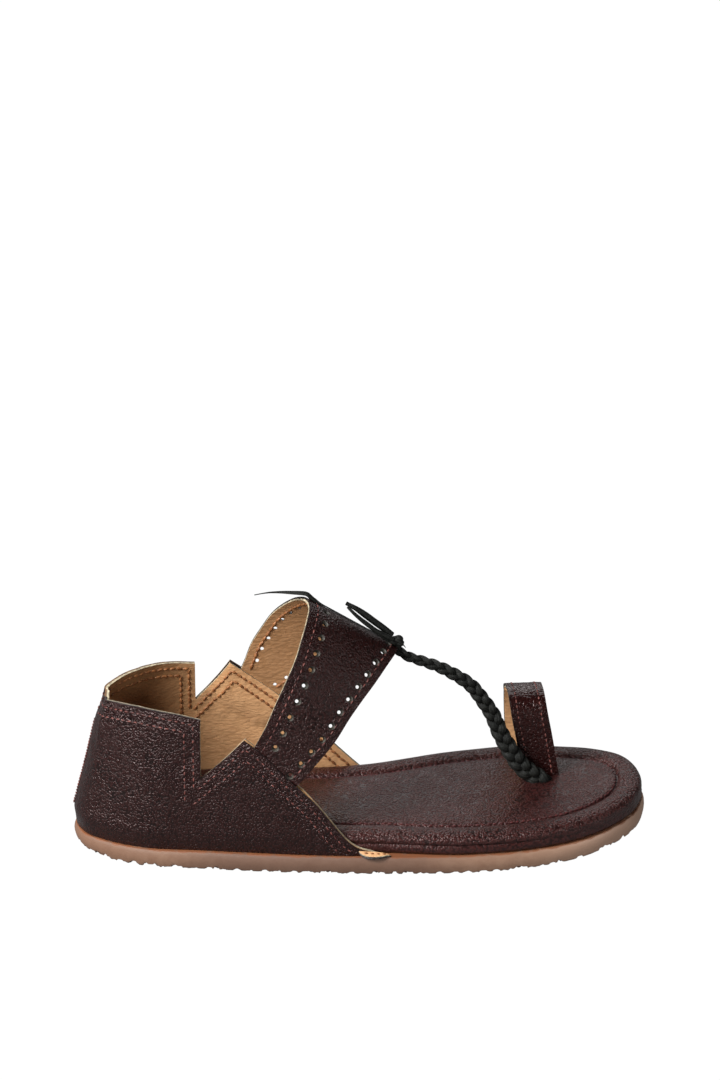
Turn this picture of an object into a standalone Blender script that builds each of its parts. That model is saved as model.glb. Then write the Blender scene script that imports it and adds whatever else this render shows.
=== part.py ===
"""Kolhapuri sandal for the right foot: outsole, footbed, upper, toe loop, plait and thong.

The toe points along +X, the medial side lies at +Y and the sandal stands on z = 0.
Each table lists its values as shares of the sizes named at the top.
"""
import math
from collections import namedtuple

import bmesh
import bpy
import numpy as np
from mathutils import Vector

for thing in list(bpy.data.objects):
    bpy.data.objects.remove(thing, do_unlink=True)

# Main sizes, metres
LENGTH = 0.2575
WIDTH = 0.0900
MID_X = 0.0005
HEIGHT = 0.1150
SOLE_EDGE = 0.0090
GAP = 0.00035
TOE_SPRING = 0.0030
SPRING_START = 0.0550
HEEL_LIFT = 0.0020
LIFT_START = -0.1080

# Lugs of the outsole
LUG_PITCH = 0.0128
LUG_GROOVE = 0.0022
LUG_DEPTH = 0.0012
LUG_COUNT = 18

# Footbed
PAD_RISE = 0.0092
PAD_LEDGE = 0.0012
PAD_HOLLOW_HEEL = 0.0010
PAD_HOLLOW_BALL = 0.0005

# Upper
WALL = 0.0022
BAND_WALL = 0.0018
BAND_TUCK = 0.0009
HOLE = 0.0030

# Toe loop, plait and thong
LOOP_WIDTH = 0.0165
LOOP_THICK = 0.0020
PLAIT_TOP = 0.0036
PLAIT_BASE = 0.0086
PLAIT_FLAT = 0.62
PLAIT_PITCH = 0.0165
THONG_WIDTH = 0.0030
THONG_THICK = 0.0013

# Grid counts
STATIONS = 48
CAP_STEPS = 4
BAND_STEPS = 30
BAND_ACROSS = 5

# Outline of the outsole: along the foot in LENGTH, each side in WIDTH
Station = namedtuple("Station", "along lateral medial")
OUTLINE = [Station(*row) for row in (
    (-0.487, 0.142, 0.138),
    (-0.455, 0.224, 0.221),
    (-0.390, 0.319, 0.315),
    (-0.280, 0.380, 0.366),
    (-0.175, 0.432, 0.362),
    (-0.040, 0.481, 0.346),
    (0.090, 0.511, 0.386),
    (0.200, 0.518, 0.440),
    (0.290, 0.493, 0.462),
    (0.370, 0.433, 0.424),
    (0.435, 0.326, 0.363),
    (0.480, 0.196, 0.269),
)]
HEEL_TIP = Station(-0.504, 0.0, 0.0)
TOE_TIP = Station(0.504, -0.016, 0.016)

# Side of the outsole from the ground up: inward and height in SOLE_EDGE
SoleRing = namedtuple("SoleRing", "inward height")
SOLE_RINGS = [SoleRing(*row) for row in (
    (0.170, 0.000),
    (0.050, 0.110),
    (0.000, 0.270),
    (0.020, 0.850),
    (0.090, 1.000),
)]

# Side and roll of the footbed: inward and height in PAD_RISE
PadRing = namedtuple("PadRing", "inward height")
PAD_RINGS = [PadRing(*row) for row in (
    (0.110, 0.000),
    (0.020, 0.100),
    (0.030, 0.370),
    (0.070, 0.430),
    (0.020, 0.500),
    (0.010, 0.640),
    (0.110, 0.850),
    (0.380, 0.985),
    (0.780, 1.000),
    (1.080, 0.930),
    (1.220, 0.850),
    (1.340, 0.900),
)]

# Outer face of the quarter: height in HEIGHT, inward from the outline in LENGTH
Lean = namedtuple("Lean", "height side back")
QUARTER_LEAN = [Lean(*row) for row in (
    (0.080, 0.0095, 0.0040),
    (0.113, 0.0072, 0.0022),
    (0.152, 0.0058, 0.0002),
    (0.200, 0.0066, 0.0052),
    (0.287, 0.0085, 0.0160),
    (0.365, 0.0112, 0.0256),
    (0.448, 0.0145, 0.0350),
    (0.540, 0.0178, 0.0463),
    (0.630, 0.0238, 0.0650),
    (0.720, 0.0270, 0.0750),
)]
MEDIAL_LEAN = 0.85
FRONT_LEDGE = 0.0016

# Top edge of the quarter: along in LENGTH, heights in HEIGHT
Collar = namedtuple("Collar", "along lateral medial")
COLLAR = [Collar(*row) for row in (
    (-0.504, 0.617, 0.617),
    (-0.480, 0.630, 0.636),
    (-0.428, 0.645, 0.655),
    (-0.378, 0.648, 0.658),
    (-0.332, 0.641, 0.654),
    (-0.286, 0.620, 0.640),
)]
Edge = namedtuple("Edge", "along height")
LATERAL_WING = [Edge(*row) for row in (
    (-0.286, 0.384),
    (-0.260, 0.438),
    (-0.235, 0.493),
    (-0.2120, 0.548),
    (-0.1950, 0.519),
    (-0.1786, 0.489),
    (-0.1522, 0.430),
    (-0.1239, 0.369),
    (-0.0909, 0.298),
    (-0.0691, 0.237),
    (-0.0489, 0.176),
    (-0.0318, 0.133),
    (-0.0148, 0.107),
    (0.0039, 0.0955),
)]
MEDIAL_WING = [Edge(*row) for row in (
    (-0.286, 0.472),
    (-0.260, 0.530),
    (-0.240, 0.583),
    (-0.2215, 0.640),
    (-0.197, 0.597),
    (-0.168, 0.544),
    (-0.135, 0.482),
    (-0.100, 0.395),
    (-0.064, 0.306),
    (-0.026, 0.212),
    (0.010, 0.125),
)]
WING_FOOT = 0.0233
CORNER_LEAN = 0.0003
LOW_ROWS = (0.0, 0.10, 0.22, 0.45, 0.72, 1.0)
HIGH_ROWS = (0.0, 0.34, 0.67, 1.0)

# Instep band, lateral foot to medial foot: along in LENGTH, side in WIDTH, height in HEIGHT.
# A side of None means that the edge lies in the wall of the quarter.
BandRow = namedtuple("BandRow", "back_x back_y back_z front_x front_y front_z")
BAND = [BandRow(*row) for row in (
    (-0.2080, None, 0.435, -0.1468, None, 0.304),
    (-0.1975, None, 0.483, -0.1328, None, 0.339),
    (-0.1849, None, 0.537, -0.1178, None, 0.372),
    (-0.1702, -0.359, 0.599, -0.0874, -0.387, 0.443),
    (-0.1510, -0.328, 0.686, -0.0482, -0.339, 0.537),
    (-0.1318, -0.289, 0.766, -0.0259, -0.289, 0.600),
    (-0.1146, -0.233, 0.834, -0.0035, -0.233, 0.651),
    (-0.1000, -0.156, 0.905, 0.0196, -0.167, 0.695),
    (-0.0895, -0.072, 0.950, 0.0423, -0.089, 0.737),
    (-0.0842, 0.022, 0.972, 0.0622, 0.006, 0.762),
    (-0.0895, 0.100, 0.973, 0.0678, 0.089, 0.755),
    (-0.1028, 0.161, 0.955, 0.0563, 0.156, 0.732),
    (-0.1244, 0.222, 0.911, 0.0311, 0.217, 0.698),
    (-0.1457, 0.267, 0.854, -0.0038, 0.262, 0.656),
    (-0.1650, 0.291, 0.783, -0.0426, 0.292, 0.609),
    (-0.1824, 0.302, 0.714, -0.0853, 0.303, 0.559),
    (-0.1964, None, 0.635, -0.1223, None, 0.513),
    (-0.2076, None, 0.574, -0.1437, None, 0.470),
    (-0.2174, None, 0.522, -0.1632, None, 0.422),
)]

# Rows of holes: nearest edge, distance from it in WIDTH, start and end along the band, count
HoleRow = namedtuple("HoleRow", "edge inset start end count")
HOLE_ROWS = [HoleRow(*row) for row in (
    ("back", 0.091, 0.105, 0.525, 10),
    ("front", 0.059, 0.070, 0.530, 12),
    ("back", 0.060, 0.567, 0.885, 9),
    ("front", 0.059, 0.570, 0.920, 11),
)]

# Toe loop: centre line along in LENGTH, side in WIDTH, height in HEIGHT, turn in degrees
LoopRow = namedtuple("LoopRow", "x y z turn")
LOOP = [LoopRow(*row) for row in (
    (0.3289, 0.096, 0.115, 0.0),
    (0.3250, 0.102, 0.157, 0.0),
    (0.3198, 0.113, 0.226, 0.0),
    (0.3118, 0.131, 0.330, 0.0),
    (0.3048, 0.147, 0.409, 0.0),
    (0.3023, 0.161, 0.443, 0.0),
    (0.3013, 0.185, 0.462, 0.0),
    (0.3013, 0.225, 0.471, 0.0),
    (0.3013, 0.283, 0.473, 0.0),
    (0.3013, 0.345, 0.467, 0.0),
    (0.3013, 0.385, 0.451, 0.0),
    (0.3020, 0.410, 0.420, -1.0),
    (0.3034, 0.427, 0.362, -2.0),
    (0.3055, 0.439, 0.287, -3.5),
    (0.3079, 0.440, 0.209, -5.0),
    (0.3086, 0.4365, 0.140, -5.0),
    (0.3086, 0.4345, 0.0850, -5.0),
)]

# Plait: centre line along in LENGTH, side in WIDTH, height in HEIGHT
PathRow = namedtuple("PathRow", "x y z")
PLAIT = [PathRow(*row) for row in (
    (0.0682, 0.078, 0.7430),
    (0.0846, 0.078, 0.716),
    (0.1108, 0.078, 0.692),
    (0.1412, 0.078, 0.663),
    (0.1678, 0.078, 0.628),
    (0.1947, 0.078, 0.582),
    (0.2170, 0.078, 0.514),
    (0.2352, 0.076, 0.447),
    (0.2485, 0.068, 0.372),
    (0.2667, 0.056, 0.297),
    (0.2901, 0.051, 0.218),
    (0.3111, 0.050, 0.178),
    (0.3257, 0.050, 0.148),
    (0.3313, 0.050, 0.116),
)]

# Thong: shares across the band of the run on the ridge, then its tail and the free ends
RIDGE_SIDE = 0.080
RIDGE_SHARES = (0.908, 0.74, 0.56, 0.38, 0.20, 0.06)
TAIL = [PathRow(*row) for row in (
    (-0.0902, 0.090, 0.9930),
    (-0.1049, 0.105, 0.9915),
    (-0.1276, 0.125, 0.9890),
    (-0.1538, 0.135, 0.9860),
    (-0.1776, 0.138, 0.9770),
)]
LONG_END = [PathRow(*row) for row in (
    (0.0573, 0.0790, 0.8085),
    (0.0472, 0.0800, 0.8300),
    (0.0332, 0.0820, 0.8560),
    (0.0157, 0.0860, 0.8880),
    (-0.0035, 0.0920, 0.9210),
    (-0.0210, 0.0980, 0.9440),
)]
SHORT_END = [PathRow(*row) for row in (
    (0.0577, 0.0420, 0.8060),
    (0.0472, 0.0380, 0.8240),
    (0.0315, 0.0330, 0.8510),
    (0.0140, 0.0320, 0.8870),
    (0.0000, 0.0340, 0.9120),
    (-0.0147, 0.0360, 0.9410),
)]
KNOT = PathRow(0.0650, 0.062, 0.7925)

# Colours and gloss of each material
Finish = namedtuple("Finish", "red green blue roughness")
FINISHES = {
    "outsole_rubber": Finish(0.32, 0.17, 0.115, 0.62),
    "footbed_leather": Finish(0.095, 0.055, 0.050, 0.42),
    "upper_leather": Finish(0.040, 0.019, 0.018, 0.38),
    "loop_leather": Finish(0.020, 0.009, 0.008, 0.40),
    "plait_leather": Finish(0.012, 0.011, 0.011, 0.50),
    "thong_leather": Finish(0.016, 0.012, 0.011, 0.45),
}


def material(name):
    """Principled material of one slot."""
    finish = FINISHES[name]
    slot = bpy.data.materials.new(name)
    slot.use_nodes = True
    shader = slot.node_tree.nodes["Principled BSDF"]
    shader.inputs["Base Color"].default_value = (finish.red, finish.green, finish.blue, 1.0)
    shader.inputs["Roughness"].default_value = finish.roughness
    return slot


SLOTS = {name: material(name) for name in FINISHES}


def add_object(name, points, faces, slot, corner=45.0):
    """One closed body with outward normals, smooth but for its corners."""
    mesh = bpy.data.meshes.new(name)
    mesh.from_pydata([tuple(point) for point in points], [], faces)
    body = bmesh.new()
    body.from_mesh(mesh)
    bmesh.ops.remove_doubles(body, verts=body.verts, dist=1e-7)
    bmesh.ops.recalc_face_normals(body, faces=body.faces)
    body.to_mesh(mesh)
    body.free()
    mesh.materials.append(SLOTS[slot])
    thing = bpy.data.objects.new(name, mesh)
    bpy.context.scene.collection.objects.link(thing)
    shade(thing, corner)
    return thing


def shade(thing, corner):
    """Smooth shading that keeps edges sharper than the corner angle."""
    for face in thing.data.polygons:
        face.use_smooth = True
    thing.data.set_sharp_from_angle(angle=math.radians(corner))


def combine(thing, other, operation, corner=45.0):
    """Exact boolean of two bodies, applied to the first, the second removed."""
    step = thing.modifiers.new("step", "BOOLEAN")
    step.operation = operation
    step.solver = "EXACT"
    step.object = other
    graph = bpy.context.evaluated_depsgraph_get()
    result = bpy.data.meshes.new_from_object(thing.evaluated_get(graph))
    thing.modifiers.remove(step)
    old = thing.data
    name = old.name
    thing.data = result
    bpy.data.meshes.remove(old)
    result.name = name
    bpy.data.objects.remove(other, do_unlink=True)
    shade(thing, corner)


def smooth_step(low, high, value):
    """Soft ramp from 0 at low to 1 at high."""
    share = min(max((value - low) / (high - low), 0.0), 1.0)
    return share * share * (3.0 - 2.0 * share)


def curve(points, steps, closed=False):
    """Smooth curve through points, with the given steps in each span."""
    knots = np.array(points, dtype=float)
    count = len(knots)
    spans = count if closed else count - 1
    chord = [np.linalg.norm(knots[(i + 1) % count] - knots[i]) for i in range(spans)]
    slopes = []
    for i in range(count):
        if closed or 0 < i < count - 1:
            before = chord[i - 1]
            after = chord[i % spans]
            left = (knots[i] - knots[i - 1]) / before
            right = (knots[(i + 1) % count] - knots[i]) / after
            slopes.append((left * after + right * before) / (before + after))
        elif i == 0:
            slopes.append((knots[1] - knots[0]) / chord[0])
        else:
            slopes.append((knots[-1] - knots[-2]) / chord[-1])
    out = []
    for i in range(spans):
        for step in range(steps):
            t = step / steps
            a = knots[i]
            b = knots[(i + 1) % count]
            u = slopes[i] * chord[i]
            v = slopes[(i + 1) % count] * chord[i]
            out.append((2 * t**3 - 3 * t**2 + 1) * a + (t**3 - 2 * t**2 + t) * u
                       + (3 * t**2 - 2 * t**3) * b + (t**3 - t**2) * v)
    if not closed:
        out.append(knots[-1])
    return np.array(out)


def arcs_of(points):
    """Length along a row of points, from 0."""
    steps = np.linalg.norm(np.diff(points, axis=0), axis=1)
    return np.concatenate(([0.0], np.cumsum(steps)))


def spread(points, count):
    """The same curve with count + 1 points at even lengths."""
    arcs = arcs_of(points)
    at = np.linspace(0.0, arcs[-1], count + 1)
    return np.array([[np.interp(s, arcs, points[:, k]) for k in range(points.shape[1])] for s in at])


# Outline as a closed curve from the heel tip along the lateral side and back
lateral_knots = [(MID_X + row.along * LENGTH, -row.lateral * WIDTH) for row in OUTLINE]
medial_knots = [(MID_X + row.along * LENGTH, row.medial * WIDTH) for row in OUTLINE]
heel_knot = (MID_X + HEEL_TIP.along * LENGTH, HEEL_TIP.medial * WIDTH)
toe_knot = (MID_X + TOE_TIP.along * LENGTH, TOE_TIP.medial * WIDTH)
outline_knots = [heel_knot] + lateral_knots + [toe_knot] + medial_knots[::-1]
RIM = curve(outline_knots, 16, closed=True)
TOE_INDEX = (len(OUTLINE) + 1) * 16
RIM_LOOP = np.vstack((RIM, RIM[:1]))
RIM_ARCS = arcs_of(RIM_LOOP)
RIM_LENGTH = RIM_ARCS[-1]
TOE_ARC = RIM_ARCS[TOE_INDEX]
rim_forward = np.roll(RIM, -3, axis=0) - np.roll(RIM, 3, axis=0)
rim_normals = np.stack((rim_forward[:, 1], -rim_forward[:, 0]), axis=1)
rim_normals /= np.linalg.norm(rim_normals, axis=1)[:, None]
if rim_normals[0, 0] > 0.0:
    rim_normals = -rim_normals
NORMAL_LOOP = np.vstack((rim_normals, rim_normals[:1]))


def edge(arc):
    """Point and outward normal of the outline; negative arcs lie on the medial side."""
    arc = arc % RIM_LENGTH
    point = [np.interp(arc, RIM_ARCS, RIM_LOOP[:, k]) for k in range(2)]
    normal = [np.interp(arc, RIM_ARCS, NORMAL_LOOP[:, k]) for k in range(2)]
    size = math.hypot(normal[0], normal[1])
    return point[0], point[1], normal[0] / size, normal[1] / size


def arc_at(side, x):
    """Arc of the outline at a place along the foot, side +1 lateral and -1 medial."""
    if side > 0:
        return float(np.interp(x, RIM_LOOP[:TOE_INDEX + 1, 0], RIM_ARCS[:TOE_INDEX + 1]))
    backward = RIM_LOOP[TOE_INDEX:, 0][::-1]
    arcs = (RIM_ARCS[TOE_INDEX:] - RIM_LENGTH)[::-1]
    return float(np.interp(x, backward, arcs))


def spring(x):
    """Rise of the sole toward the toe."""
    far = max(x - SPRING_START, 0.0) / (MID_X + 0.5 * LENGTH - SPRING_START)
    return TOE_SPRING * far * far


def heel_lift(x):
    """Bevel under the back of the heel."""
    far = max(LIFT_START - x, 0.0) / (LIFT_START + 0.5 * LENGTH - MID_X)
    return HEEL_LIFT * far * far


def lean(arc, z):
    """How far the outer face of the quarter stands inside the outline."""
    x, y, nx, ny = edge(arc)
    heights = [row.height * HEIGHT for row in QUARTER_LEAN]
    side = float(np.interp(z, heights, [row.side * LENGTH for row in QUARTER_LEAN]))
    back = float(np.interp(z, heights, [row.back * LENGTH for row in QUARTER_LEAN]))
    if ny > 0.0:
        side *= 1.0 - (1.0 - MEDIAL_LEAN) * min(1.0, ny)
    ahead = smooth_step(-0.060, 0.004, x)
    low = 1.0 - smooth_step(0.018, 0.040, z)
    side += (FRONT_LEDGE - side) * ahead * low
    weight = max(-nx, 0.0)
    return side + (back - side) * weight


def quarter_point(arc, z, inward=0.0):
    """Point of the quarter's outer face, or of a layer inside it."""
    x, y, nx, ny = edge(arc)
    depth = lean(arc, z) + inward
    return (x - nx * depth, y - ny * depth, z)


def pad_base(arc):
    """How far the side of the footbed stands inside the outline."""
    x = edge(arc)[0]
    behind = lean(arc, 0.0148) + WALL + GAP
    foot = MID_X + WING_FOOT * LENGTH
    return behind + (PAD_LEDGE - behind) * smooth_step(foot + 0.001, foot + 0.014, x)


# Arcs of the stations shared by outsole and footbed, lateral then medial
lateral_arcs = list(np.linspace(0.0, TOE_ARC, STATIONS + 1))
medial_arcs = list(np.linspace(0.0, TOE_ARC - RIM_LENGTH, STATIONS + 1))
RING_ARCS = lateral_arcs + medial_arcs[-2:0:-1]


def ring_solid(name, rings, slot, floor_hollow, top_hollow, corner):
    """Body between stacked rings, closed by a strip cap below and above."""
    count = len(RING_ARCS)
    points = [point for ring in rings for point in ring]
    faces = []
    for level in range(len(rings) - 1):
        for i in range(count):
            j = (i + 1) % count
            faces.append((level * count + i, level * count + j,
                          (level + 1) * count + j, (level + 1) * count + i))
    for level, hollow in ((0, floor_hollow), (len(rings) - 1, top_hollow)):
        first = level * count
        rows = []
        for i in range(1, STATIONS):
            a = np.array(points[first + i])
            b = np.array(points[first + count - i])
            row = [first + i]
            for step in range(1, CAP_STEPS):
                share = step / CAP_STEPS
                middle = a + (b - a) * share
                middle[2] -= hollow(middle[0]) * 4.0 * share * (1.0 - share)
                row.append(len(points))
                points.append(tuple(middle))
            row.append(first + count - i)
            rows.append(row)
        for low, high in zip(rows[:-1], rows[1:]):
            for step in range(CAP_STEPS):
                faces.append((low[step], low[step + 1], high[step + 1], high[step]))
        for tip, row in ((first, rows[0]), (first + STATIONS, rows[-1])):
            for step in range(CAP_STEPS):
                faces.append((tip, row[step], row[step + 1]))
    return add_object(name, points, faces, slot, corner)


# Outsole: one rubber unit with its toe spring and heel bevel
sole_rings = []
for row in SOLE_RINGS:
    ring = []
    for arc in RING_ARCS:
        x, y, nx, ny = edge(arc)
        inward = row.inward * SOLE_EDGE
        px = x - nx * inward
        py = y - ny * inward
        rise = spring(px) + heel_lift(px) * (1.0 - row.height)
        ring.append((px, py, row.height * SOLE_EDGE + rise))
    sole_rings.append(ring)
outsole = ring_solid("outsole", sole_rings, "outsole_rubber", lambda x: 0.0, lambda x: 0.0, 40.0)

# Grooves between the lugs, cut across the sole in one step
groove_points = []
groove_faces = []
for i in range(LUG_COUNT):
    x = (i - 0.5 * (LUG_COUNT - 1)) * LUG_PITCH
    top = LUG_DEPTH + spring(x) + heel_lift(x)
    first = len(groove_points)
    for dx in (-0.5 * LUG_GROOVE, 0.5 * LUG_GROOVE):
        for y in (-0.6 * WIDTH, 0.6 * WIDTH):
            groove_points.append((x + dx, y, -0.004))
            groove_points.append((x + dx * 0.7, y, top))
    for face in ((0, 2, 3, 1), (4, 5, 7, 6), (0, 1, 5, 4), (2, 6, 7, 3), (0, 4, 6, 2), (1, 3, 7, 5)):
        groove_faces.append(tuple(first + k for k in face))
grooves = add_object("grooves", groove_points, groove_faces, "outsole_rubber")
combine(outsole, grooves, "DIFFERENCE", 40.0)

# Footbed: padded board with a rolled border and a groove for its stitches
pad_rings = []
for row in PAD_RINGS:
    ring = []
    for arc in RING_ARCS:
        x, y, nx, ny = edge(arc)
        z = SOLE_EDGE + GAP + row.height * PAD_RISE
        inward = pad_base(arc) + row.inward * PAD_RISE
        if x < MID_X + WING_FOOT * LENGTH + 0.003:
            inward = max(inward, lean(arc, z) + WALL + GAP)
        px = x - nx * inward
        py = y - ny * inward
        ring.append((px, py, z + spring(px)))
    pad_rings.append(ring)


def pad_hollow(x):
    """Depth of the footbed's soft hollow under heel and ball."""
    heel = 1.0 - smooth_step(-0.070, -0.020, x)
    ball = smooth_step(0.000, 0.060, x)
    return PAD_HOLLOW_HEEL * heel + PAD_HOLLOW_BALL * ball - 0.0004


footbed = ring_solid("footbed", pad_rings, "footbed_leather", lambda x: 0.0, pad_hollow, 50.0)


class Sheet:
    """Sheet of faces whose points are named by a key, for a wall with two faces."""

    def __init__(self):
        self.keys = {}
        self.order = []
        self.faces = []

    def point(self, arc, z):
        key = (round(arc, 6), round(z, 6))
        if key not in self.keys:
            self.keys[key] = len(self.order)
            self.order.append((arc, z))
        return self.keys[key]

    def face(self, corners):
        kept = []
        for corner in corners:
            if corner not in kept:
                kept.append(corner)
        if len(kept) > 2:
            self.faces.append(tuple(kept))

    def columns(self, columns):
        for left, right in zip(columns[:-1], columns[1:]):
            for row in range(len(left) - 1):
                a = self.point(*left[row])
                b = self.point(*right[row])
                c = self.point(*right[row + 1])
                d = self.point(*left[row + 1])
                self.face((a, b, c, d))


def walled(name, outer, inner, faces, slot, corner):
    """Closed wall between an outer sheet and an inner sheet of the same faces."""
    shift = len(outer)
    all_faces = list(faces) + [tuple(shift + k for k in face[::-1]) for face in faces]
    used = {}
    for face in faces:
        for a, b in zip(face, face[1:] + face[:1]):
            used[(a, b)] = True
    for a, b in used:
        if (b, a) not in used:
            all_faces.append((b, a, shift + a, shift + b))
    return add_object(name, list(outer) + list(inner), all_faces, slot, corner)


# Heel quarter: from the lateral wing round the heel to the medial wing
FOOT_Z = SOLE_EDGE + GAP
sheet = Sheet()
notch_z = {1: LATERAL_WING[0].height * HEIGHT, -1: MEDIAL_WING[0].height * HEIGHT}
notch_arc = {side: arc_at(side, MID_X + COLLAR[-1].along * LENGTH) for side in (1, -1)}
rear_columns = []
for side in (1, -1):
    half = []
    for row in COLLAR[::-1] if side > 0 else COLLAR[1:]:
        arc = arc_at(side, MID_X + row.along * LENGTH)
        top = row.lateral if side > 0 else row.medial
        half.append((arc, top * HEIGHT))
    rear_columns.extend(half)
fine_columns = []
for (arc, top), (next_arc, next_top) in zip(rear_columns[:-1], rear_columns[1:]):
    for k in range(3):
        fine_columns.append((arc + (next_arc - arc) * k / 3.0, top + (next_top - top) * k / 3.0))
fine_columns.append(rear_columns[-1])
low_columns = []
high_columns = []
for arc, top in fine_columns:
    share = (notch_arc[1] - arc) / (notch_arc[1] - notch_arc[-1])
    middle = notch_z[1] + (notch_z[-1] - notch_z[1]) * share
    low_columns.append([(arc, FOOT_Z + (middle - FOOT_Z) * f) for f in LOW_ROWS])
    lead = 0.0
    if abs(arc - notch_arc[1]) < 1e-6:
        lead = CORNER_LEAN
    if abs(arc - notch_arc[-1]) < 1e-6:
        lead = -CORNER_LEAN
    high_columns.append([(arc + lead * f, middle + (top - middle) * f) for f in HIGH_ROWS])
sheet.columns(low_columns)
sheet.columns(high_columns)
for side, wing in ((1, LATERAL_WING), (-1, MEDIAL_WING)):
    low_columns = []
    high_columns = []
    foot_arc = arc_at(side, MID_X + WING_FOOT * LENGTH)
    for index, row in enumerate(wing):
        arc = arc_at(side, MID_X + row.along * LENGTH)
        top = row.height * HEIGHT
        share = (arc - notch_arc[side]) / (foot_arc - notch_arc[side])
        middle = FOOT_Z + (notch_z[side] - FOOT_Z) * (1.0 - share) ** 1.15
        if index == 0:
            middle = notch_z[side]
        middle = min(middle, FOOT_Z + 0.62 * (top - FOOT_Z)) if index else middle
        turn = [0.0] * 6
        if index == len(wing) - 1:
            turn = [(foot_arc - arc) * (1.0 - f * (middle - FOOT_Z) / (top - FOOT_Z)) for f in LOW_ROWS]
        low_columns.append([(arc + lead, FOOT_Z + (middle - FOOT_Z) * f) for lead, f in zip(turn, LOW_ROWS)])
        last = turn[-1]
        high_columns.append([(arc + last * (1.0 - f), middle + (top - middle) * f) for f in HIGH_ROWS])
    if side > 0:
        low_columns.reverse()
        high_columns.reverse()
    sheet.columns(low_columns)
    sheet.columns(high_columns)
quarter_outer = [quarter_point(arc, z) for arc, z in sheet.order]
quarter_inner = [quarter_point(arc, z, WALL) for arc, z in sheet.order]
upper = walled("upper", quarter_outer, quarter_inner, sheet.faces, "upper_leather", 50.0)


def wall_side(side, x, z):
    """Sideways place of the band where it is tucked in the wall of the quarter."""
    arc = arc_at(side, x)
    return quarter_point(arc, z, BAND_TUCK)[1]


# Instep band: a ruled strip between its back edge and its front edge
back_knots = []
front_knots = []
for index, row in enumerate(BAND):
    side = 1 if index < len(BAND) / 2 else -1
    for knots, x, y, z in ((back_knots, row.back_x, row.back_y, row.back_z),
                           (front_knots, row.front_x, row.front_y, row.front_z)):
        across = wall_side(side, x * LENGTH, z * HEIGHT) if y is None else y * WIDTH
        knots.append((x * LENGTH, across, z * HEIGHT))
back_line = spread(curve(back_knots, 8), BAND_STEPS)
front_line = spread(curve(front_knots, 8), BAND_STEPS)


def band_point(s, t):
    """Outer face of the band: s from lateral foot to medial foot, t from back to front."""
    at = np.linspace(0.0, 1.0, BAND_STEPS + 1)
    back = np.array([np.interp(s, at, back_line[:, k]) for k in range(3)])
    front = np.array([np.interp(s, at, front_line[:, k]) for k in range(3)])
    return back + (front - back) * t


def band_normal(s, t):
    """Outward normal of the band."""
    along = band_point(min(s + 0.02, 1.0), t) - band_point(max(s - 0.02, 0.0), t)
    across = band_point(s, 1.0) - band_point(s, 0.0)
    normal = np.cross(across, along)
    return normal / np.linalg.norm(normal)


if band_normal(0.5, 0.5)[2] < 0.0:
    raise ValueError("the normal of the band must point away from the foot")
band_outer = []
band_inner = []
for i in range(BAND_STEPS + 1):
    for j in range(BAND_ACROSS + 1):
        s = i / BAND_STEPS
        t = j / BAND_ACROSS
        point = band_point(s, t)
        band_outer.append(tuple(point))
        band_inner.append(tuple(point - band_normal(s, t) * BAND_WALL))
band_faces = []
for i in range(BAND_STEPS):
    for j in range(BAND_ACROSS):
        a = i * (BAND_ACROSS + 1) + j
        b = a + BAND_ACROSS + 1
        band_faces.append((a, a + 1, b + 1, b))
band = walled("band", band_outer, band_inner, band_faces, "upper_leather", 50.0)

# Round holes of the band, cut in one step
hole_points = []
hole_faces = []
for row in HOLE_ROWS:
    for i in range(row.count):
        s = row.start + (row.end - row.start) * i / (row.count - 1)
        width = np.linalg.norm(band_point(s, 1.0) - band_point(s, 0.0))
        t = row.inset * WIDTH / width if row.edge == "back" else 1.0 - row.inset * WIDTH / width
        centre = band_point(s, t) - band_normal(s, t) * 0.5 * BAND_WALL
        normal = band_normal(s, t)
        first_axis = band_point(s, 1.0) - band_point(s, 0.0)
        first_axis -= normal * np.dot(normal, first_axis)
        first_axis /= np.linalg.norm(first_axis)
        second_axis = np.cross(normal, first_axis)
        first = len(hole_points)
        for depth in (-0.003, 0.003):
            for k in range(8):
                angle = 2.0 * math.pi * (k + 0.5) / 8
                offset = first_axis * math.cos(angle) + second_axis * math.sin(angle)
                hole_points.append(tuple(centre + offset * 0.52 * HOLE + normal * depth))
        hole_faces.append(tuple(first + k for k in range(7, -1, -1)))
        hole_faces.append(tuple(first + 8 + k for k in range(8)))
        for k in range(8):
            m = (k + 1) % 8
            hole_faces.append((first + k, first + m, first + 8 + m, first + 8 + k))
punches = add_object("punches", hole_points, hole_faces, "upper_leather")
combine(band, punches, "DIFFERENCE", 50.0)
combine(upper, band, "UNION", 50.0)


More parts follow.
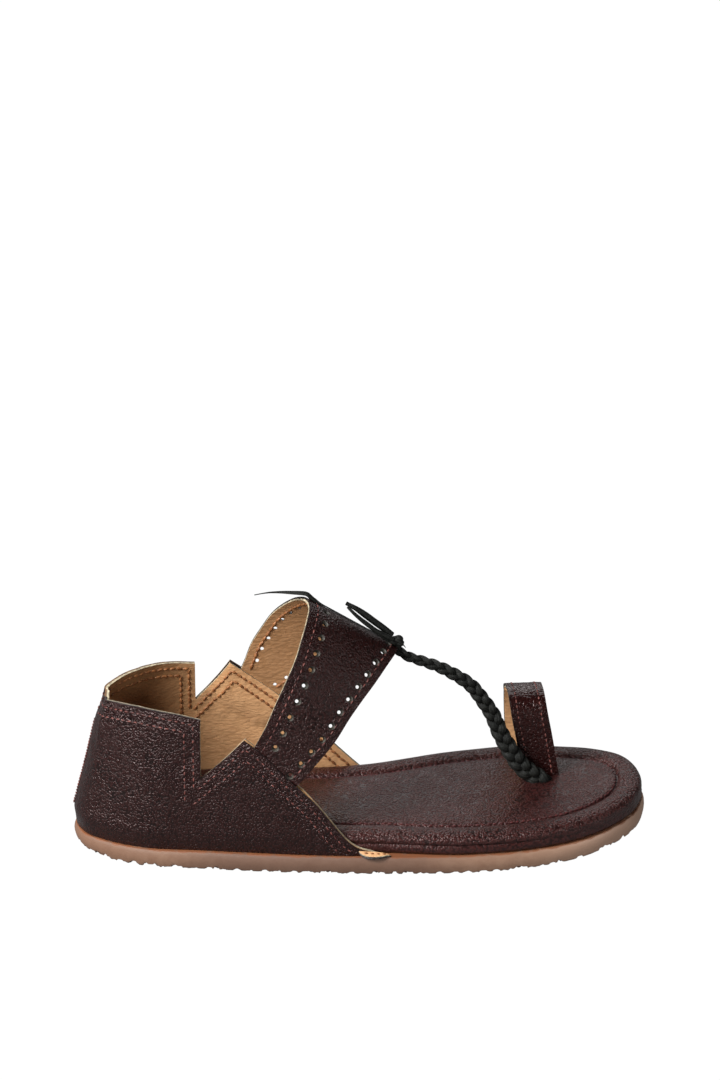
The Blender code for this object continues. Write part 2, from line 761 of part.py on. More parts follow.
def strap(name, grow, ends, slot):
    """Flat strap along the toe loop's line; grow widens it, ends lengthens it."""
    rows = [(row.x * LENGTH, row.y * WIDTH, row.z * HEIGHT, row.turn) for row in LOOP]
    line = np.array(rows)
    line[:, 2] += [spring(row[0]) if row[2] < 0.030 else 0.0 for row in rows]
    points = []
    for i, row in enumerate(line):
        before = line[max(i - 1, 0)][:3]
        after = line[min(i + 1, len(line) - 1)][:3]
        forward = (after - before) / np.linalg.norm(after - before)
        angle = math.radians(row[3])
        across = np.array((math.cos(angle), math.sin(angle), 0.0))
        across -= forward * np.dot(forward, across)
        across /= np.linalg.norm(across)
        up = np.cross(across, forward)
        centre = row[:3].copy()
        if i == 0:
            centre -= forward * ends[0]
        if i == len(line) - 1:
            centre += forward * ends[1]
        half = 0.5 * LOOP_WIDTH + grow
        thick = 0.5 * LOOP_THICK + grow
        for a, b in ((-half, -thick), (half, -thick), (half, thick), (-half, thick)):
            points.append(tuple(centre + across * a + up * b))
    faces = [(0, 1, 2, 3), tuple(len(points) - 4 + k for k in (3, 2, 1, 0))]
    for i in range(len(line) - 1):
        for k in range(4):
            m = (k + 1) % 4
            faces.append((4 * i + k, 4 * i + m, 4 * i + 4 + m, 4 * i + 4 + k))
    return add_object(name, points, faces, slot, 50.0)


def frames(line):
    """Forward, side and up of each point of a path that stays near one vertical plane."""
    out = []
    for i in range(len(line)):
        forward = line[min(i + 1, len(line) - 1)] - line[max(i - 1, 0)]
        forward = forward / np.linalg.norm(forward)
        side = np.array((0.0, 1.0, 0.0))
        side -= forward * np.dot(forward, side)
        side /= np.linalg.norm(side)
        out.append((forward, side, np.cross(side, forward)))
    return out


def tube(name, line, sections, slot, corner=60.0):
    """Closed body through sections, each a list of (side, up) offsets at one point."""
    points = []
    for centre, frame, section in zip(line, frames(line), sections):
        for a, b in section:
            points.append(tuple(centre + frame[1] * a + frame[2] * b))
    size = len(sections[0])
    faces = [tuple(range(size))[::-1], tuple(len(points) - size + k for k in range(size))]
    for i in range(len(line) - 1):
        for k in range(size):
            m = (k + 1) % size
            faces.append((size * i + k, size * i + m, size * i + size + m, size * i + size + k))
    return add_object(name, points, faces, slot, corner)


def plait_section(s, share, grow=0.0, angles=12):
    """Outline of three crossing strips, as the farthest reach of any strip."""
    half = 0.5 * (PLAIT_TOP + (PLAIT_BASE - PLAIT_TOP) * share ** 0.9)
    strip = half * 0.50
    swing = half - strip
    centres = []
    for k in range(3):
        phase = 2.0 * math.pi * (s / PLAIT_PITCH + k / 3.0)
        centres.append((math.sin(2.0 * phase) * swing * 0.42, math.sin(phase) * swing))
    section = []
    for k in range(angles):
        angle = 2.0 * math.pi * k / angles
        ray = np.array((math.cos(angle) * PLAIT_FLAT, math.sin(angle)))
        ray /= np.linalg.norm(ray)
        reach = 0.62 * half * (PLAIT_FLAT if abs(ray[0]) > 0.7 else 1.0)
        for centre in centres:
            middle = np.array(centre)
            along = np.dot(ray, middle)
            rest = strip * strip - np.dot(middle, middle) + along * along
            if rest > 0.0:
                reach = max(reach, along + math.sqrt(rest))
        section.append(tuple(ray * (reach + grow)))
    return section


# Toe loop, and the room that it needs in the footbed
loop_room = strap("loop_room", GAP, (GAP, 0.004), "footbed_leather")
combine(footbed, loop_room, "DIFFERENCE", 50.0)
toe_loop = strap("toe_loop", 0.0, (0.0, 0.0), "loop_leather")

# Toe braid: a tapered plait whose foot stands in the slit beside the loop
plait_knots = [(row.x * LENGTH, row.y * WIDTH, row.z * HEIGHT) for row in PLAIT]
plait_curve = curve(plait_knots, 8)
PLAIT_STEPS = 72
plait_line = spread(plait_curve, PLAIT_STEPS)
plait_length = arcs_of(plait_line)[-1]
room_line = plait_line[-22:].copy()
room_line[-1] += (room_line[-1] - room_line[-2]) / np.linalg.norm(room_line[-1] - room_line[-2]) * GAP
room_half = 0.5 * PLAIT_BASE + GAP
room_section = []
for k in range(12):
    angle = 2.0 * math.pi * k / 12
    room_section.append((math.cos(angle) * room_half * 0.80, math.sin(angle) * room_half * 1.04))
plait_room = tube("plait_room", room_line, [room_section] * len(room_line), "footbed_leather")
combine(footbed, plait_room, "DIFFERENCE", 50.0)
plait_sections = []
for i in range(PLAIT_STEPS + 1):
    share = i / PLAIT_STEPS
    plait_sections.append(plait_section(plait_length * share, share))
toe_braid = tube("toe_braid", plait_line, plait_sections, "plait_leather")


def thong(name, rows, steps, tip_share, taper_from):
    """Flat leather lace that tapers to a point at its free end."""
    line = spread(curve(rows, 8), steps)
    sections = []
    for i in range(steps + 1):
        full = 1.0 - (1.0 - tip_share) * smooth_step(taper_from, 1.0, i / steps)
        a = 0.5 * THONG_WIDTH * full
        b = 0.5 * THONG_THICK * full
        turns = [2.0 * math.pi * k / 8 for k in range(8)]
        sections.append([(a * math.cos(turn), b * math.sin(turn)) for turn in turns])
    return tube(name, line, sections, "thong_leather")


def placed(rows):
    """Path rows in metres."""
    return [(row.x * LENGTH, row.y * WIDTH, row.z * HEIGHT) for row in rows]


def ridge_point(t):
    """Place on the ridge of the band, lifted by half the lace and a small gap."""
    shares = np.linspace(0.40, 0.65, 126)
    sides = [band_point(s, t)[1] for s in shares]
    s = float(np.interp(RIDGE_SIDE * WIDTH, sides, shares))
    return tuple(band_point(s, t) + band_normal(s, t) * (0.5 * THONG_THICK + GAP))


ridge_rows = [ridge_point(t) for t in RIDGE_SHARES] + placed(TAIL)
thong_ridge = thong("thong_ridge", ridge_rows, 24, 0.30, 0.62)
thong_end_long = thong("thong_end_long", placed(LONG_END), 10, 0.55, 0.35)
thong_end_short = thong("thong_end_short", placed(SHORT_END), 10, 0.45, 0.35)

# Knot between the ridge and the plait: a round body with the turns of the lace raised
knot_points = []
knot_faces = []
centre = np.array((KNOT.x * LENGTH, KNOT.y * WIDTH, KNOT.z * HEIGHT))
for i in range(1, 8):
    for k in range(12):
        polar = math.pi * i / 8
        angle = 2.0 * math.pi * k / 12
        turn = 1.0 + 0.10 * math.cos(3.0 * angle + 4.0 * polar)
        reach = np.array((0.0027, 0.0024, 0.0023)) * turn
        direction = np.array((math.cos(polar), math.sin(polar) * math.cos(angle),
                              math.sin(polar) * math.sin(angle)))
        knot_points.append(tuple(centre + reach * direction))
for i in range(6):
    for k in range(12):
        m = (k + 1) % 12
        knot_faces.append((12 * i + k, 12 * i + m, 12 * i + 12 + m, 12 * i + 12 + k))
for first, pole in ((0, 0.0027), (72, -0.0027)):
    tip = len(knot_points)
    knot_points.append(tuple(centre + np.array((pole, 0.0, 0.0))))
    for k in range(12):
        knot_faces.append((first + k, first + (k + 1) % 12, tip))
thong_knot = add_object("thong_knot", knot_points, knot_faces, "thong_leather", 60.0)
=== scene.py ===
"""Kolhapuri sandal for the right foot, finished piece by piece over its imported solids.

The toe points along +X, the inner side of the foot lies at +Y, and the sandal stands on z = 0.
"""
import math

import bpy
import numpy as np
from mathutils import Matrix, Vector, noise


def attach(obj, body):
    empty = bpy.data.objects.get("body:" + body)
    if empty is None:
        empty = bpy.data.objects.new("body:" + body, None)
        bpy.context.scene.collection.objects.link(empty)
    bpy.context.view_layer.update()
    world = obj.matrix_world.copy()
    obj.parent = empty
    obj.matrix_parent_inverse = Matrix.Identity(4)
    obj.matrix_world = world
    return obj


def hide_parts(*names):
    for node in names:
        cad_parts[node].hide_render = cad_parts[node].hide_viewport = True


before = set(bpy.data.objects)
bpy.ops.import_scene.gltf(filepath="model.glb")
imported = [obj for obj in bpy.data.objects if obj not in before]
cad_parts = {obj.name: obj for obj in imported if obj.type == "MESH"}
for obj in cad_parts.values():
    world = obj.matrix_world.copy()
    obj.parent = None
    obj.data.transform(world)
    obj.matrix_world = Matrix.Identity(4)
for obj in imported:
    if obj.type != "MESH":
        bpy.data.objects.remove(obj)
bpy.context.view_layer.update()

bpy.ops.object.select_all(action="DESELECT")

# Studio: a white sweep under large cloth boxes, seen from a little above on the outer side of
# the foot. The key box stands behind the heel, low boxes fill in from the front and the toe,
# and a long strip of white wall glows behind.
scene = bpy.context.scene
scene.view_settings.view_transform = "Standard"
bpy.ops.object.camera_add(location=(-0.0866, -1.1003, 0.6318),
                          rotation=(math.radians(62.0), 0.0, math.radians(-4.5)))
camera = bpy.context.object
camera.data.lens = 92.8
camera.data.sensor_width = 36.0
camera.data.shift_y = 0.1847
camera.data.clip_start = 0.05
camera.data.clip_end = 60.0
scene.camera = camera


def soft_box(name, place, aim, size, power):
    """Large square lamp that faces one point."""
    bpy.ops.object.light_add(type="AREA", location=place)
    lamp = bpy.context.object
    lamp.name = name
    lamp.rotation_mode = "QUATERNION"
    lamp.rotation_quaternion = (Vector(aim) - Vector(place)).to_track_quat("-Z", "Y")
    lamp.data.shape = "RECTANGLE"
    lamp.data.size = size[0]
    lamp.data.size_y = size[1]
    lamp.data.energy = power
    return lamp


soft_box("key_box", (-1.22, -0.63, 1.26), (0.0, 0.0, 0.05), (0.80, 0.80), 50.0)
soft_box("front_box", (-0.80, -1.40, 0.56), (0.0, 0.0, 0.05), (0.65, 0.55), 7.0)
soft_box("toe_box", (1.30, -0.80, 0.45), (0.10, 0.0, 0.02), (0.60, 0.40), 4.0)
soft_box("wall_glow", (0.20, 1.70, 0.85), (0.0, 0.0, 0.10), (1.90, 0.45), 8.0)

sky = bpy.data.worlds.new("studio_air")
scene.world = sky
sky.use_nodes = True
sky.node_tree.nodes["Background"].inputs["Color"].default_value = (1.0, 1.0, 1.0, 1.0)
sky.node_tree.nodes["Background"].inputs["Strength"].default_value = 0.05


def add_node(tree, kind, wires=(), **settings):
    """A node with its settings, its inputs wired or set by name or number."""
    made = tree.nodes.new(kind)
    for key, value in settings.items():
        setattr(made, key, value)
    for key, value in dict(wires).items():
        if isinstance(value, bpy.types.NodeSocket):
            tree.links.new(value, made.inputs[key])
        else:
            made.inputs[key].default_value = value
    return made


bpy.ops.mesh.primitive_plane_add(size=14.0, location=(0.0, 0.0, -0.00005))
floor = bpy.context.object
floor.name = "sweep"
paper = bpy.data.materials.new("white_sweep")
paper.use_nodes = True
paper_tree = paper.node_tree
paper_shader = paper_tree.nodes["Principled BSDF"]
paper_shader.inputs["Base Color"].default_value = (0.14, 0.14, 0.14, 1.0)
paper_shader.inputs["Roughness"].default_value = 0.9
paper_shader.inputs["Specular IOR Level"].default_value = 0.0
paper_glow = add_node(paper_tree, "ShaderNodeEmission", {"Strength": 1.12})
paper_rays = add_node(paper_tree, "ShaderNodeLightPath").outputs
paper_seen = add_node(paper_tree, "ShaderNodeMath", {0: paper_rays["Is Camera Ray"], 1: 0.90},
                      operation="MULTIPLY")
paper_share = add_node(paper_tree, "ShaderNodeMath",
                       {0: paper_rays["Is Glossy Ray"], 1: 0.14, 2: paper_seen.outputs[0]},
                       operation="MULTIPLY_ADD")
paper_mix = add_node(paper_tree, "ShaderNodeMixShader",
                     {0: paper_share.outputs[0], 1: paper_shader.outputs[0], 2: paper_glow.outputs[0]})
paper_tree.links.new(paper_mix.outputs[0], paper_tree.nodes["Material Output"].inputs["Surface"])
floor.data.materials.append(paper)

# Outsole: one moulded rubber unit, 9 mm thick at its edge, with a rounded foot and a tread of
# cross lugs whose grooves break the lower edge. A brown line along its top is partly glue and
# partly painted shade where the upper meets the sole.
LENGTH = 0.2575
WIDTH = 0.0900
MID_X = 0.0005
HEIGHT = 0.1150
SOLE_EDGE = 0.0090
GAP = 0.00035
SOLE_STEPS = 400
LUG_PITCH = 0.0128
LUG_CUTS = ((0.00, 0.0018, 0.0012, 1.7), (0.27, 0.0012, 0.0004, 4.1), (0.74, 0.0013, 0.0005, 8.3))
CHIP_LONG = 0.0034
CHIP_DEEP = 0.0075
OUTLINE = (
    (-0.487, 0.142, 0.138), (-0.455, 0.224, 0.221), (-0.390, 0.319, 0.315),
    (-0.280, 0.380, 0.366), (-0.175, 0.432, 0.362), (-0.040, 0.481, 0.346),
    (0.090, 0.511, 0.386), (0.200, 0.518, 0.440), (0.290, 0.493, 0.462),
    (0.370, 0.433, 0.424), (0.435, 0.326, 0.363), (0.480, 0.196, 0.269),
)
SOLE_SIDE = ((0.170, 0.000), (0.050, 0.110), (0.000, 0.270), (0.020, 0.850), (0.090, 1.000))


def smooth_curve(points, steps, closed=False):
    """Smooth line through points, with the given steps in each span."""
    knots = np.array(points, dtype=float)
    count = len(knots)
    spans = count if closed else count - 1
    chord = [np.linalg.norm(knots[(i + 1) % count] - knots[i]) for i in range(spans)]
    slopes = []
    for i in range(count):
        if closed or 0 < i < count - 1:
            before = chord[i - 1]
            after = chord[i % spans]
            left = (knots[i] - knots[i - 1]) / before
            right = (knots[(i + 1) % count] - knots[i]) / after
            slopes.append((left * after + right * before) / (before + after))
        elif i == 0:
            slopes.append((knots[1] - knots[0]) / chord[0])
        else:
            slopes.append((knots[-1] - knots[-2]) / chord[-1])
    out = []
    for i in range(spans):
        a = knots[i]
        b = knots[(i + 1) % count]
        u = slopes[i] * chord[i]
        v = slopes[(i + 1) % count] * chord[i]
        for step in range(steps):
            t = step / steps
            out.append((2 * t**3 - 3 * t**2 + 1) * a + (t**3 - 2 * t**2 + t) * u
                       + (3 * t**2 - 2 * t**3) * b + (t**3 - t**2) * v)
    if not closed:
        out.append(knots[-1])
    return np.array(out)


def lengths_along(line):
    """Distance of each point along a line, from 0."""
    steps = np.linalg.norm(np.diff(line, axis=0), axis=1)
    return np.concatenate(([0.0], np.cumsum(steps)))


def evenly(line, count):
    """The same line with count + 1 points at even distances."""
    along = lengths_along(line)
    at = np.linspace(0.0, along[-1], count + 1)
    return np.stack([np.interp(at, along, line[:, k]) for k in range(line.shape[1])], axis=1)


def soft_step(low, high, value):
    """Soft ramp from 0 at low to 1 at high."""
    share = np.clip((np.asarray(value, float) - low) / (high - low), 0.0, 1.0)
    return share * share * (3.0 - 2.0 * share)


def ripple(points, size, seed=0.0):
    """Smooth random heights from -1 to 1 over points, with bumps of about one size."""
    flat = np.asarray(points, float).reshape(-1, 3) / size + seed
    values = np.array([noise.noise(Vector(p)) for p in flat])
    return values.reshape(np.asarray(points).shape[:-1])


rim_knots = [(MID_X - 0.504 * LENGTH, 0.0)]
rim_knots += [(MID_X + a * LENGTH, -b * WIDTH) for a, b, c in OUTLINE]
rim_knots += [(MID_X + 0.504 * LENGTH, 0.016 * WIDTH)]
rim_knots += [(MID_X + a * LENGTH, c * WIDTH) for a, b, c in OUTLINE[::-1]]
rim = smooth_curve(rim_knots, 16, closed=True)
toe_index = (len(OUTLINE) + 1) * 16
rim_loop = np.vstack((rim, rim[:1]))
rim_along = lengths_along(rim_loop)
RIM_LENGTH = rim_along[-1]
TOE_ARC = rim_along[toe_index]
rim_forward = np.roll(rim, -3, axis=0) - np.roll(rim, 3, axis=0)
rim_out = np.stack((rim_forward[:, 1], -rim_forward[:, 0]), axis=1)
rim_out /= np.linalg.norm(rim_out, axis=1)[:, None]
if rim_out[0, 0] > 0.0:
    rim_out = -rim_out
out_loop = np.vstack((rim_out, rim_out[:1]))


def outline_at(arcs):
    """Place and outward direction of the outline; arcs above 0 run up the outer side of the foot."""
    at = np.mod(np.asarray(arcs, float), RIM_LENGTH)
    x, y = (np.interp(at, rim_along, rim_loop[:, k]) for k in range(2))
    nx, ny = (np.interp(at, rim_along, out_loop[:, k]) for k in range(2))
    size = np.hypot(nx, ny)
    return x, y, nx / size, ny / size


def arc_of(side, x):
    """Arc of the outline at a place along the foot, side +1 outer and -1 inner."""
    if side > 0:
        return float(np.interp(x, rim_loop[:toe_index + 1, 0], rim_along[:toe_index + 1]))
    return float(np.interp(x, rim_loop[toe_index:, 0][::-1], (rim_along[toe_index:] - RIM_LENGTH)[::-1]))


def toe_spring(x):
    """Rise of the sole toward the toe."""
    far = np.maximum(x - 0.0550, 0.0) / (MID_X + 0.5 * LENGTH - 0.0550)
    return 0.0030 * far * far


def heel_bevel(x):
    """Bevel under the back of the heel."""
    far = np.maximum(-0.1080 - x, 0.0) / (-0.1080 + 0.5 * LENGTH - MID_X)
    return 0.0020 * far * far


def tread(x, y):
    """Depth of the tread's grooves: a deep one between lugs, and cut ones on each lug."""
    wander = 0.0005 * np.sin(y / 0.0041 + 1.3 * np.sin(x / 0.021))
    place = (x + wander) / LUG_PITCH
    number = np.floor(place)
    away = np.abs(place - number - 0.5) * LUG_PITCH
    depth = 0.0019 * (1.0 - soft_step(0.0008, 0.0018, away))
    for share, deep, broad, seed in LUG_CUTS:
        shift = 0.0012 * np.sin(number * 12.9 + seed * 7.0)
        size = 0.65 + 0.35 * np.sin(number * 5.3 + seed * 3.0)
        gap = np.abs(np.mod(place - share - shift / LUG_PITCH + 0.5, 1.0) - 0.5) * LUG_PITCH
        depth = np.maximum(depth, deep * size * (1.0 - soft_step(broad, broad + 0.0007, gap)))
    return depth


def quads(rows, columns, first=0, around=False):
    """Faces between stacked rows of points; around joins the last column to the first."""
    low = first + np.arange(rows - 1)[:, None] * columns
    here = np.arange(columns if around else columns - 1)
    after = (here + 1) % columns
    corners = (low + here, low + after, low + columns + after, low + columns + here)
    return [tuple(face) for face in np.stack(corners, axis=-1).reshape(-1, 4).tolist()]


def strip_cap(points, first, steps, across, shape):
    """Points and faces that close a ring of 2 x steps points with strips from side to side."""
    extra = []
    rows = []
    count = len(points)
    for i in range(1, steps):
        a = points[first + i]
        b = points[first + 2 * steps - i]
        row = [first + i]
        for step in range(1, across):
            row.append(count + len(extra))
            extra.append(shape(a + (b - a) * step / across, step / across))
        row.append(first + 2 * steps - i)
        rows.append(row)
    faces = []
    for low, high in zip(rows[:-1], rows[1:]):
        for k in range(across):
            faces.append((low[k], low[k + 1], high[k + 1], high[k]))
    for tip, row in ((first, rows[0]), (first + steps, rows[-1])):
        for k in range(across):
            faces.append((tip, row[k], row[k + 1]))
    return extra, faces


def new_piece(name, points, faces, finishes, angle=40.0, picks=None, repair=True):
    """One piece from its points and faces, its normals outward, smooth but for sharp corners."""
    mesh = bpy.data.meshes.new(name)
    mesh.from_pydata([tuple(p) for p in points], [], [tuple(int(k) for k in f) for f in faces])
    thing = bpy.data.objects.new(name, mesh)
    scene.collection.objects.link(thing)
    for finish in finishes:
        mesh.materials.append(finish)
    if picks is not None:
        mesh.polygons.foreach_set("material_index", np.asarray(picks, np.int32))
    hold(thing)
    if repair:
        bpy.ops.object.mode_set(mode="EDIT")
        bpy.ops.mesh.select_all(action="SELECT")
        bpy.ops.mesh.remove_doubles(threshold=1e-7)
        bpy.ops.mesh.normals_make_consistent(inside=False)
        bpy.ops.object.mode_set(mode="OBJECT")
    bpy.ops.object.shade_smooth_by_angle(angle=math.radians(angle))
    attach(thing, "root")
    return thing


def hold(thing):
    """Makes one object the only selected one."""
    bpy.ops.object.select_all(action="DESELECT")
    thing.select_set(True)
    bpy.context.view_layer.objects.active = thing


def keep_number(thing, name, values):
    """Stores one number for each point of a mesh, for its material."""
    layer = thing.data.attributes.new(name, "FLOAT", "POINT")
    layer.data.foreach_set("value", np.asarray(values, np.float32))


def work(thing, kind, **settings):
    """Adds one modifier to a piece and applies it."""
    hold(thing)
    step = thing.modifiers.new(kind.lower(), kind)
    for key, value in settings.items():
        setattr(step, key, value)
    bpy.ops.object.modifier_apply(modifier=step.name)


class Finish:
    """Material of one piece, with short calls for the nodes that shape its surface."""

    def __init__(self, name, colour, roughness):
        self.material = bpy.data.materials.new(name)
        self.material.use_nodes = True
        self.tree = self.material.node_tree
        self.shader = self.tree.nodes["Principled BSDF"]
        self.shader.inputs["Base Color"].default_value = (*colour, 1.0)
        self.shader.inputs["Roughness"].default_value = roughness
        self.place = self.node("ShaderNodeTexCoord").outputs["Object"]

    def node(self, kind, wires=(), **settings):
        return add_node(self.tree, kind, wires, **settings)

    def noise(self, scale, detail=3.0, rough=0.5, vector=None):
        wires = {"Vector": vector or self.place, "Scale": scale, "Detail": detail, "Roughness": rough}
        return self.node("ShaderNodeTexNoise", wires).outputs["Fac"]

    def ramp(self, value, low, high, start=0.0, end=1.0):
        wires = {"Value": value, "From Min": low, "From Max": high, "To Min": start, "To Max": end}
        return self.node("ShaderNodeMapRange", wires, interpolation_type="SMOOTHSTEP").outputs["Result"]

    def maths(self, operation, first, second):
        return self.node("ShaderNodeMath", {0: first, 1: second}, operation=operation).outputs[0]

    def blend(self, share, first, second):
        """Colour between two colours or colour outputs."""
        tones = [tone if isinstance(tone, bpy.types.NodeSocket) else (*tone, 1.0) for tone in (first, second)]
        return self.node("ShaderNodeMix", {0: share, 6: tones[0], 7: tones[1]}, data_type="RGBA").outputs[2]

    def along(self, axis):
        """Place along one axis of the sandal."""
        return self.node("ShaderNodeSeparateXYZ", {0: self.place}).outputs[axis]

    def kept(self, name):
        """Number kept with the points of the mesh."""
        return self.node("ShaderNodeAttribute", attribute_name=name).outputs["Fac"]

    def colour(self, output):
        self.tree.links.new(output, self.shader.inputs["Base Color"])

    def rough(self, output):
        self.tree.links.new(output, self.shader.inputs["Roughness"])

    def bump(self, height, distance):
        relief = self.node("ShaderNodeBump", {"Height": height, "Strength": 1.0, "Distance": distance})
        self.tree.links.new(relief.outputs["Normal"], self.shader.inputs["Normal"])


rubber = Finish("sole_rubber", (0.36, 0.20, 0.14), 0.50)
rubber_height = rubber.kept("level")
rubber_along = rubber.along("X")
rubber_spots = rubber.noise(210.0, 4.0, 0.6)
# Painted shade darkens the heel and the waist of the sole, and painted light brightens its toe; the foot is
# darker towards its lower edge.
rubber_heel_shade = rubber.ramp(rubber_along, -0.13, -0.05, 0.75, 0.0)
rubber_waist_shade = rubber.maths("MULTIPLY", rubber.ramp(rubber_along, -0.095, -0.060),
                            rubber.ramp(rubber_along, 0.010, 0.060, 0.70, 0.0))
rubber_toe = rubber.ramp(rubber_along, 0.055, 0.110)
rubber_foot = rubber.ramp(rubber_height, 0.0004, 0.0022, 0.5, 0.0)
rubber_tone = rubber.blend(rubber.ramp(rubber_spots, 0.30, 0.70), (0.300, 0.166, 0.105),
                           (0.365, 0.215, 0.142))
for rubber_share, rubber_tone_shift in ((rubber_heel_shade, (0.190, 0.095, 0.058)),
                                   (rubber_waist_shade, (0.135, 0.072, 0.050)),
                                   (rubber_toe, (0.540, 0.335, 0.235)),
                                   (rubber_foot, (0.250, 0.130, 0.085))):
    rubber_tone = rubber.blend(rubber_share, rubber_tone, rubber_tone_shift)
# Painted shade with glue: a brown line along the top edge, where the upper meets the sole.
glue_and_shade_edge = rubber.maths("ADD", rubber_height, rubber.ramp(rubber_spots, 0.2, 0.8, -0.0005, 0.0005))
glue_and_shade_share = rubber.ramp(glue_and_shade_edge, 0.0085, 0.0090, 0.0, 0.80)
rubber.colour(rubber.blend(glue_and_shade_share, rubber_tone, (0.26, 0.085, 0.030)))
rubber.rough(rubber.ramp(rubber.noise(900.0, 2.0), 0.3, 0.7, 0.42, 0.58))
rubber.bump(rubber.noise(1500.0, 3.0, 0.6), 0.00006)

sole_arcs = np.concatenate((np.linspace(0.0, TOE_ARC, SOLE_STEPS + 1),
                            np.linspace(0.0, TOE_ARC - RIM_LENGTH, SOLE_STEPS + 1)[-2:0:-1]))
sx, sy, snx, sny = outline_at(sole_arcs)
chips = ripple(np.stack((sole_arcs / CHIP_LONG, sole_arcs / 0.0090, np.zeros_like(sx)), axis=1), 1.0, 4.0)
torn = 0.0004 + CHIP_DEEP * np.clip(chips - 0.06, 0.0, 0.30)
sole_rows = []
for inward, height in smooth_curve(SOLE_SIDE, 4):
    px = sx - snx * inward * SOLE_EDGE
    py = sy - sny * inward * SOLE_EDGE
    own = height * SOLE_EDGE
    groove = np.maximum(tread(px, py), torn)
    pz = own + np.maximum(groove - own, 0.0) * (1.0 - 0.04 * height)
    pz += toe_spring(px) + heel_bevel(px) * (1.0 - height)
    wave = 0.00006 * np.sin(sole_arcs / 0.0037) * soft_step(0.0, 0.3, height)
    sole_rows.append(np.stack((px - snx * wave, py - sny * wave, pz), axis=1))
sole_points = np.vstack(sole_rows)
ring_size = 2 * SOLE_STEPS
sole_faces = quads(len(sole_rows), ring_size, around=True)


def under(point, share):
    rise = tread(point[0], point[1]) + toe_spring(point[0]) + heel_bevel(point[0])
    return np.array((point[0], point[1], rise))


extra, cap = strip_cap(sole_points, 0, SOLE_STEPS, 56, under)
sole_points = np.vstack((sole_points, extra))
sole_faces += cap
top_first = (len(sole_rows) - 1) * ring_size
extra, cap = strip_cap(sole_points, top_first, SOLE_STEPS, 4, lambda point, share: point)
sole_points = np.vstack((sole_points, extra))
sole_faces += cap
sole = new_piece("rubber_sole", sole_points, sole_faces, [rubber.material], 38.0)
sole_at = np.array([v.co for v in sole.data.vertices])
keep_number(sole, "level", sole_at[:, 2] - toe_spring(sole_at[:, 0]))
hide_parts("outsole")

# Footbed: a foam board in soft brown leather, sewn through in a groove that leaves a rounded
# border. The leather is lasted round the edge, so it creases at half height and pleats at the toe.
PAD_RISE = 0.0092
WALL = 0.0022
PAD_STEPS = 420
WING_FOOT = 0.0233
PAD_SIDE = (
    (0.110, 0.000), (0.020, 0.100), (0.028, 0.420), (0.080, 0.490), (0.020, 0.560), (0.010, 0.680),
    (0.110, 0.860), (0.380, 0.990), (0.780, 1.010), (1.070, 0.930), (1.200, 0.800), (1.330, 0.900),
)
QUARTER_LEAN = (
    (0.080, 0.0095, 0.0040), (0.113, 0.0072, 0.0022), (0.152, 0.0058, 0.0002), (0.200, 0.0066, 0.0052),
    (0.287, 0.0085, 0.0160), (0.365, 0.0112, 0.0256), (0.448, 0.0145, 0.0350), (0.540, 0.0178, 0.0463),
    (0.630, 0.0238, 0.0650), (0.720, 0.0270, 0.0750),
)
lean_table = smooth_curve(QUARTER_LEAN, 8)


def lean(arcs, heights):
    """How far the outer face of the quarter stands inside the outline."""
    x, y, nx, ny = outline_at(arcs)
    side = np.interp(heights, lean_table[:, 0] * HEIGHT, lean_table[:, 1] * LENGTH)
    back = np.interp(heights, lean_table[:, 0] * HEIGHT, lean_table[:, 2] * LENGTH)
    side = np.where(ny > 0.0, side * (1.0 - 0.15 * np.minimum(1.0, np.maximum(ny, 0.0))), side)
    ahead = soft_step(-0.060, 0.004, x) * (1.0 - soft_step(0.018, 0.040, heights))
    side = side + (0.0016 - side) * ahead
    return side + (back - side) * np.maximum(-nx, 0.0)


def grain_group():
    """Pebbled leather: domed cells with fine pores, and slow creases that run across them."""
    tree = bpy.data.node_groups.new("Leather grain", "ShaderNodeTree")
    for label, way, kind in (("Vector", "INPUT", "NodeSocketVector"),
                             ("Cells per metre", "INPUT", "NodeSocketFloat"),
                             ("Crease", "INPUT", "NodeSocketFloat"),
                             ("Height", "OUTPUT", "NodeSocketFloat"),
                             ("Shade", "OUTPUT", "NodeSocketFloat")):
        tree.interface.new_socket(label, in_out=way, socket_type=kind)
    enter = add_node(tree, "NodeGroupInput").outputs
    scaled = add_node(tree, "ShaderNodeVectorMath", {0: enter["Vector"], "Scale": enter["Cells per metre"]},
                      operation="SCALE").outputs[0]
    drift = add_node(tree, "ShaderNodeTexNoise", {"Vector": scaled, "Scale": 0.9, "Detail": 2.0}
                     ).outputs["Color"]
    pushed = add_node(tree, "ShaderNodeVectorMath", {0: drift, 1: (0.9, 0.9, 0.9), 2: scaled},
                      operation="MULTIPLY_ADD").outputs[0]
    reach = add_node(tree, "ShaderNodeTexVoronoi", {"Vector": pushed, "Scale": 1.0, "Smoothness": 0.40},
                     feature="SMOOTH_F1").outputs["Distance"]
    squared = add_node(tree, "ShaderNodeMath", {0: reach, 1: reach}, operation="MULTIPLY").outputs[0]
    dome = add_node(tree, "ShaderNodeMapRange", {"Value": squared, "From Min": 0.0, "From Max": 0.48,
                                                 "To Min": 1.0, "To Max": 0.0}).outputs["Result"]
    pores = add_node(tree, "ShaderNodeTexNoise", {"Vector": scaled, "Scale": 2.1, "Detail": 1.0}
                     ).outputs["Fac"]
    folds = add_node(tree, "ShaderNodeTexNoise", {"Vector": pushed, "Scale": 0.22, "Detail": 3.0}
                     ).outputs["Fac"]
    creased = add_node(tree, "ShaderNodeMath", {0: folds, 1: enter["Crease"]},
                       operation="MULTIPLY").outputs[0]
    pitted = add_node(tree, "ShaderNodeMath", {0: pores, 1: 0.35, 2: creased},
                      operation="MULTIPLY_ADD").outputs[0]
    total = add_node(tree, "ShaderNodeMath", {0: dome, 1: pitted}, operation="ADD").outputs[0]
    add_node(tree, "NodeGroupOutput", {"Height": total, "Shade": dome})
    return tree


grain_tree = grain_group()


